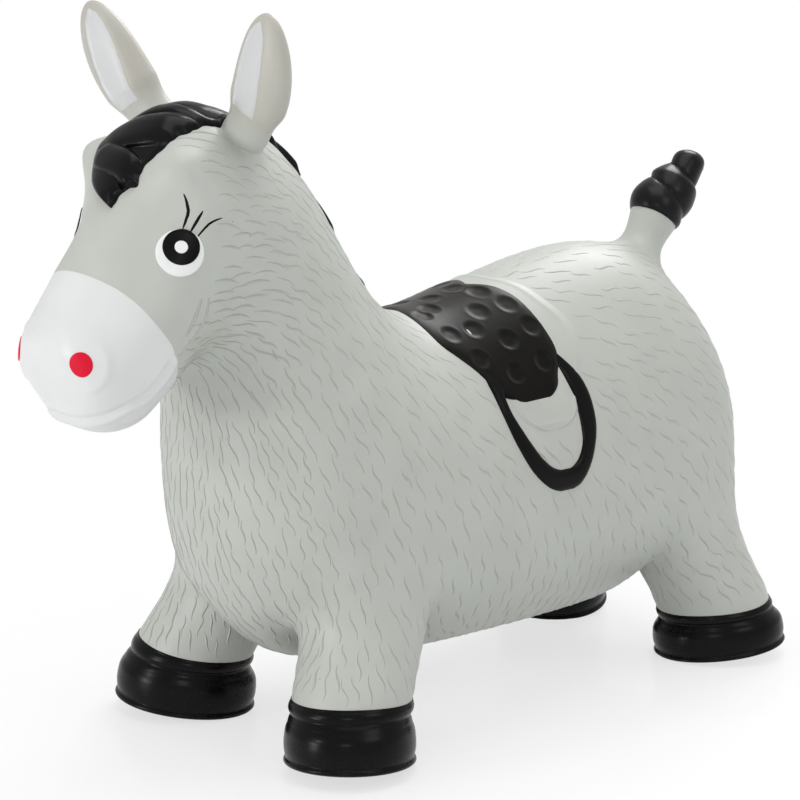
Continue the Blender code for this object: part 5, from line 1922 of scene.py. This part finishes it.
@dataclass
class TailTwist(Assembly):
    """The black twist on the tail: one fat strand wound round about its axis, up to a knob."""

    length: float = 0.0655
    bend: float = 0.0122
    start: float = math.radians(48.7)
    # Way to the tip and width
    profile: tuple = ((0.000, 0.80), (0.012, 0.88), (0.08, 0.98), (0.20, 1.05), (0.32, 1.03),
                      (0.42, 0.96), (0.52, 0.86), (0.62, 0.75), (0.70, 0.67), (0.78, 0.62),
                      (0.85, 0.59), (0.91, 0.52), (0.955, 0.40), (0.982, 0.27), (0.995, 0.13),
                      (1.00, 0.04))
    # Way to the tip and how many times the crease has gone round
    creases: tuple = ((0.00, 1.80), (0.06, 1.66), (0.15, 1.50), (0.30, 1.27), (0.47, 1.00),
                      (0.57, 0.50), (0.66, 0.22), (0.76, 0.00), (0.90, -0.25), (1.00, -0.38))

    def build(self) -> None:
        """Make the twist: radius w (1 - d (1 - |sin(a / 2 - pi f)|^0.6)) with f turns so far."""
        _, axis, forward = self.skin.tail_frame()
        base = self.skin.tail_point(1.0)
        rows, sides = ((150, 120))
        way, width = resample(np.array(self.profile), rows).T
        way = np.clip(way, 0.0, 1.0)[:, None]
        angle = angles(sides)[None, :]
        ways, turns = resample(np.array(self.creases), 60).T
        wound = math.pi * np.interp(way, ways, turns)
        lobe = np.abs(np.sin((angle + self.start) / 2.0 - wound)) ** 0.6
        depth = (0.19 + 0.11 * ease(way, 0.5, 0.8)) * ease(way, -0.02, 0.12)
        depth = depth * (1.0 - ease(way, 0.84, 0.97))
        radius = self.skin.tail.twist_width / 2.0 * width[:, None] * (1.0 - depth * (1.0 - lobe))
        centre = (base + axis * self.length * way[..., None]
                  - forward * (self.bend * way**1.6)[..., None])
        points = (centre + forward * (radius * np.cos(angle))[..., None]
                  + RIGHT * (radius * np.sin(angle))[..., None])
        tip = base + axis * (self.length + 0.0002) - forward * self.bend
        mesh = make_mesh("tail_twist", np.vstack((points.reshape(-1, 3), base[None], tip[None])),
                         turned_faces(rows, sides), self.skin.shift)
        place_piece(mesh, TWIST_BLACK, ("tail_tuft",), body="tail")


@dataclass
class Valve:
    """The valve under the belly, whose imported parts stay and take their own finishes."""

    finishes: tuple = (("valve_port", GREY_SKIN), ("valve_plug", VALVE_PLASTIC))

    def build(self, nodes: dict) -> None:
        """Give the port the skin's finish and the plug a soft plastic one.

        Args:
            nodes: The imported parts' objects by name.
        """
        for name, finish in self.finishes:
            for slot in nodes[name].material_slots:
                slot.material = finish.material()
            LOG.info("%s: packed part, finish %s", name, finish.name)


# The moulded hair lines


@dataclass
class HairLines(Assembly):
    """Short S-shaped hair lines moulded all over the coat, thinly spread and combed."""

    along: float = 0.0172
    across: float = 0.0093
    length: float = 0.0185
    half_width: float = 0.00108
    height: float = 0.00042
    sway: float = 0.0010
    seed: int = 11
    thrown: int = 30000
    # y, z and the angle from straight down towards the tail in which the hair lies
    combing: tuple = (
        (-0.210, 0.120, 10.0), (-0.180, 0.080, 8.0), (-0.150, 0.170, 22.0), (-0.120, 0.110, 14.0),
        (-0.050, 0.220, 42.0), (-0.060, 0.150, 25.0), (-0.020, 0.080, 5.0), (0.030, 0.110, 16.0),
        (0.030, 0.060, 2.0), (-0.150, 0.300, 30.0), (-0.120, 0.330, 38.0), (-0.250, 0.350, 85.0),
        (-0.230, 0.380, 85.0), (-0.240, 0.310, 82.0), (-0.200, 0.360, 70.0), (-0.170, 0.340, 50.0),
        (-0.210, 0.290, 40.0), (-0.200, 0.260, 15.0), (-0.170, 0.220, 22.0), (-0.080, 0.290, 48.0),
        (0.050, 0.300, 80.0), (0.120, 0.300, 88.0), (0.190, 0.290, 70.0), (0.100, 0.250, 70.0),
        (0.150, 0.220, 55.0), (0.100, 0.200, 50.0), (0.100, 0.160, 40.0), (0.150, 0.120, 25.0),
        (0.200, 0.170, 30.0), (0.170, 0.070, 45.0), (0.050, 0.080, 5.0), (-0.160, 0.060, 3.0),
        (0.230, 0.220, 40.0), (0.200, 0.080, 30.0))
    # Where the coat starts behind the face, by height
    face_edge: tuple = ((0.280, -0.290), (0.296, -0.288), (0.322, -0.273), (0.344, -0.2646),
                        (0.366, -0.2652), (0.388, -0.2634), (0.410, -0.270), (0.424, -0.275),
                        (0.440, -0.270))
    # The bare field of the saddlery, front and rear, by degrees down from the spine
    front_edge: tuple = ((0, -0.072), (20, -0.074), (30, -0.070), (41, -0.057), (50, -0.052),
                         (62, -0.050), (73, -0.045), (84, -0.036), (92, -0.020))
    rear_edge: tuple = ((0, 0.036), (12, 0.042), (22, 0.047), (30, 0.052), (37, 0.055),
                        (45, 0.052), (53, 0.046), (63, 0.040), (71, 0.030))
    # The bare ring of a stirrup band: its middle, and the half axes outside and inside
    band_middle: Pair = (66.0, -0.001)
    band_axes: tuple = ((32.0, 0.050), (19.0, 0.026))
    mane_clear: float = 0.013
    crown_clear: float = 0.032
    hoof_clear: Pair = (0.075, 0.011)
    ear_clear: Pair = (0.010, 0.028)
    tail_clear: Pair = (0.012, 0.032)
    valve_clear: float = 0.018

    def lean(self, points: Array) -> Array:
        """The combing's angle at points, its table weighted by 1 / (distance^2 + 12 mm^2)^1.5.

        Args:
            points: The points.

        Returns:
            One angle for each.
        """
        table = np.array(self.combing)
        gaps = (points[:, None, 1:] - table[None, :, :2]) ** 2
        weight = 1.0 / (gaps.sum(-1) + 0.012**2) ** 1.5
        return np.radians((weight * table[:, 2]).sum(1) / weight.sum(1))

    def directions(self, points: Array, normals: Array) -> Array:
        """Which way the hair lies: down and towards the tail by the lean, along the skin.

        Args:
            points: Points of the skin.
            normals: Their normals.

        Returns:
            Unit directions.
        """
        lean = self.lean(points)
        side = np.sign(points[:, 0]) * ease(np.abs(points[:, 0]), 0.0, 0.03)
        flow = vectors(0.35 * side * np.sin(lean), np.sin(lean), -np.cos(lean))
        return unit(flow - normals * np.sum(flow * normals, -1, keepdims=True))

    def allowed(self, points: Array) -> Array:
        """Where hair grows: the coat, clear of the face, the saddlery, hooves, ears and tail.

        Args:
            points: Points of the skin.

        Returns:
            Whether hair grows at each point.
        """
        x, y, z = np.abs(points[:, 0]), points[:, 1], points[:, 2]
        angle = np.degrees(np.arctan2(x, z - Saddlery.axis_height))
        bare = y <= look_up(self.face_edge, z)
        bare |= ((y > look_up(self.front_edge, angle)) & (y < look_up(self.rear_edge, angle))
                 & (angle < 74.0) & (z > 0.16))
        outside, inside = (np.hypot((angle - self.band_middle[0]) / wide,
                                    (y - self.band_middle[1]) / tall)
                           for wide, tall in self.band_axes)
        bare |= (outside < 1.0) & (inside > 0.9)
        bare |= (x < self.mane_clear) & (y < -0.085) & (z > 0.25)
        bare |= (x < self.crown_clear) & (y < -0.205) & (z > 0.405)
        balls = [(*self.skin.ear_frame(side)[:2], *self.ear_clear) for side in SIDES.values()]
        for root, axis, way, radius in (*balls, (*self.skin.tail_frame()[:2], *self.tail_clear)):
            bare |= np.linalg.norm(points - root - axis * way, axis=1) < radius
        for side in SIDES.values():
            for front in (True, False):
                _, top, _, up, _, _ = self.skin.leg.frame(side, front)
                offset = points - top
                near = np.linalg.norm(offset, axis=1) < self.hoof_clear[0]
                bare |= near & (offset @ up < self.hoof_clear[1])
        bare |= (np.hypot(x, y - VALVE_PLACE) < self.valve_clear) & (z <= BELLY_TOP)
        return ~bare

    def seeds(self) -> tuple[Array, Array, Array]:
        """Where the lines lie: thrown in random order, each clearing an oval about itself.

        Returns:
            Middles, normals and directions.
        """
        rng = np.random.default_rng(self.seed)
        coat = np.isin(self.skin.vertex_zones(), [zone.value for zone in COAT])
        index = np.flatnonzero(coat & self.allowed(self.skin.points))
        index = rng.permutation(index)[: self.thrown]
        points, normals = self.skin.points[index], self.skin.normals[index]
        points = points + rng.uniform(-0.0012, 0.0012, points.shape)
        ways = self.directions(points, normals)
        density = 1.0 + 0.18 * (1.0 - ease(points[:, 2], 0.05, 0.13))
        density = density + 0.32 * ease(-points[:, 1], 0.170, 0.215) * (points[:, 2] < 0.30)
        density = density + 0.34 * ease(-points[:, 1], 0.120, 0.190) * ease(points[:, 2], 0.27, 0.31)
        open_places = np.ones(len(points), bool)
        kept = []
        while open_places.any():
            pick = int(np.argmax(open_places))
            kept.append(pick)
            offset = points - points[pick]
            forward = offset @ ways[pick]
            rest = np.sqrt(np.maximum(np.sum(offset**2, axis=1) - forward**2, 0.0))
            reach = np.hypot(forward / self.along, rest / self.across) * density
            open_places &= reach > 1.0
        return points[kept], normals[kept], ways[kept]

    def build(self) -> None:
        """Lay the lines on the skin and put each piece's own lines on it.

        A line's middle path is p + (L / 2) s d + w sin(pi s) c for s from -1 to 1, with d its
        direction and c the direction across it, brought back to the skin. On the head
        it is an arch, with 1.5 (1 - s^2) for the sine.
        """
        points, normals, ways = self.seeds()
        rng = np.random.default_rng(self.seed + 1)
        count, steps = len(points), 9
        s = np.linspace(-1.0, 1.0, steps)[None, :, None]
        size = rng.uniform(0.78, 1.15, (count, 1, 1))
        cross = np.cross(normals, ways)[:, None, :]
        turn = rng.normal(0.0, 0.10, (count, 1, 1))
        forward = ways[:, None, :] * np.cos(turn) + cross * np.sin(turn)
        level = np.where((points[:, :1, None] * cross[:, :, 1:2]) > 0.0, 1.0, -1.0)
        sway = self.sway * rng.uniform(0.5, 1.5, (count, 1, 1)) * level
        arched = ease(-points[:, 1], 0.205, 0.225) * ease(points[:, 2], 0.29, 0.32)
        arched = arched[:, None, None]
        shape = np.sin(math.pi * s) * (1.0 - arched) + 1.5 * (1.0 - s * s) * arched
        paths = (points[:, None, :] + forward * s * self.length / 2.0 * size
                 + cross * shape * sway)
        spots, bases = self.skin.nearest(paths)
        taper = np.cos(np.linspace(-1.25, 1.25, steps))[None, :] ** 0.8
        width = self.half_width * taper * rng.uniform(0.75, 1.15, (count, 1))
        height = self.height * taper * rng.uniform(0.7, 1.15, (count, 1))
        nearest = np.array([self.skin.zones[self.skin.tree.find_nearest(Vector(point))[2]]
                            for point in points])
        for zone in COAT:
            rows = nearest == zone.value
            if rows.any():
                name = f"hair_lines_{zone.name.lower()}"
                # Each line's colour paints its own shade and highlight
                place_piece(strands_mesh(name, spots[rows], bases[rows], width[rows],
                                         height[rows], self.skin.shift), HAIR_LINE_PAINTED_SHADE)
        LOG.info("hair lines: %d", count)


# Stage, light and camera


@dataclass
class Studio:
    """Pale floor, soft lamps and the camera of the photograph."""

    azimuth: float = 47.0
    elevation: float = 12.1
    distance: float = 1.86
    target: Triple = (0.0, -0.056, 0.2195)
    focal_pixels: float = 2616.0
    sensor: float = 36.0
    image: float = 800.0
    shift: float = 0.0
    floor_half: float = 6.0
    # Distance from the toy over which the floor fades, and its share of plain white near it
    floor_fade: Pair = (0.20, 0.50)
    floor_share: float = 0.66
    world_level: float = 0.62

    def build(self) -> None:
        """Make the floor, the world, the lamps and the camera."""
        self.make_floor()
        self.make_world()
        self.make_lamps()
        self.make_camera()
        bpy.context.scene.view_settings.view_transform = "Standard"

    def make_floor(self) -> None:
        """A wide glossy pale floor that turns plain white away from the toy."""
        points = self.floor_half * np.array(((-1, -1, 0), (1, -1, 0), (1, 1, 0), (-1, 1, 0)))
        mesh = make_mesh("studio_floor", points, [[0, 1, 2, 3]], 0.0)
        material = bpy.data.materials.new("studio_floor_gloss")
        material.use_nodes = True
        graph = Graph(material.node_tree)
        shader = graph.tree.nodes["Principled BSDF"]
        graph.feed(shader, {"Base Color": (0.90, 0.905, 0.91, 1.0), "Roughness": 0.16,
                            "Specular IOR Level": 0.35})
        place = graph.add("TexCoord").outputs["Object"]
        reach = graph.add("VectorMath", {0: place}, operation="LENGTH").outputs["Value"]
        fade = graph.add("MapRange", {
            "Value": reach, "From Min": self.floor_fade[0], "From Max": self.floor_fade[1],
            "To Min": self.floor_share, "To Max": 1.0}, interpolation_type="SMOOTHSTEP")
        path = graph.add("LightPath").outputs
        seen = graph.add("Math", {0: path["Is Camera Ray"], 1: path["Is Glossy Ray"]},
                         operation="MAXIMUM").outputs[0]
        share = graph.add("Math", {0: fade.outputs["Result"], 1: seen}, operation="MULTIPLY")
        glow = graph.add("Emission", {"Color": WHITE, "Strength": 1.0}).outputs["Emission"]
        blend = graph.add("MixShader", {0: share.outputs[0], 1: shader.outputs["BSDF"], 2: glow})
        graph.feed(graph.tree.nodes["Material Output"], {"Surface": blend.outputs[0]})
        mesh.materials.append(material)
        new_object("studio_floor", mesh)

    def make_world(self) -> None:
        """White to the camera, and a dimmer even light on the toy."""
        world = bpy.data.worlds.new("studio_white")
        bpy.context.scene.world = world
        world.use_nodes = True
        graph = Graph(world.node_tree)
        seen = graph.add("LightPath").outputs["Is Camera Ray"]
        level = graph.add("MapRange", {"Value": seen, "To Min": self.world_level, "To Max": 1.0})
        graph.feed(graph.tree.nodes["Background"],
                   {"Color": WHITE, "Strength": level.outputs["Result"]})

    @staticmethod
    def make_lamps() -> None:
        """Soft boxes: one overhead, one on each side of the camera, one low and one behind."""
        boxes = (("overhead_box", (0.1, 0.1, 1.9), (0.0, 0.0, 0.2), 1.3, 11.5),
                 ("front_box", (1.3, -1.5, 0.8), (0.0, 0.0, 0.2), 0.30, 2.8),
                 ("right_box", (1.6, 0.2, 1.5), (0.0, 0.0, 0.2), 0.8, 5.0),
                 ("left_box", (-0.5, -2.1, 1.0), (0.0, -0.1, 0.25), 0.30, 5.6),
                 ("low_box", (-0.5, -1.8, 0.25), (0.0, -0.1, 0.2), 0.35, 6.3),
                 ("back_box", (-0.7, 1.6, 1.75), (0.0, 0.0, 0.3), 0.85, 19.0))
        for name, place, aim, size, power in boxes:
            lamp = bpy.data.lights.new(name, "AREA")
            lamp.shape, lamp.size, lamp.energy = "SQUARE", size, power
            box = new_object(name, lamp)
            box.location = place
            way = Vector(aim) - Vector(place)
            box.rotation_euler = way.to_track_quat("-Z", "Y").to_euler()

    def make_camera(self) -> None:
        """The camera, at the photograph's angle, distance and framing."""
        back = Vector(heading(math.radians(self.azimuth), math.radians(self.elevation)))
        lens = bpy.data.cameras.new("photo_camera")
        lens.sensor_width = self.sensor
        lens.lens = self.focal_pixels / self.image * self.sensor
        camera = new_object("photo_camera", lens)
        aim = Vector(self.target) + Vector((0.0, self.shift, 0.0))
        camera.location = aim + back * self.distance
        camera.rotation_euler = (-back).to_track_quat("-Z", "Y").to_euler()
        bpy.context.scene.camera = camera


def main() -> None:
    """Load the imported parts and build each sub-assembly in order."""
    logging.basicConfig(level=logging.INFO, format="%(message)s")
    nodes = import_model()["nodes"]
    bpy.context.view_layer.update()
    skin = DonkeySkin(levels=4)
    skin.shift = packed_shift()
    skin.build()
    skin.make_pieces()
    for assembly in (Saddlery, Hairdo, Face, Hooves, TailTwist, HairLines):
        assembly(skin).build()
    Valve().build(nodes)
    Studio(shift=skin.shift).build()


if __name__ == "__main__":
    main()
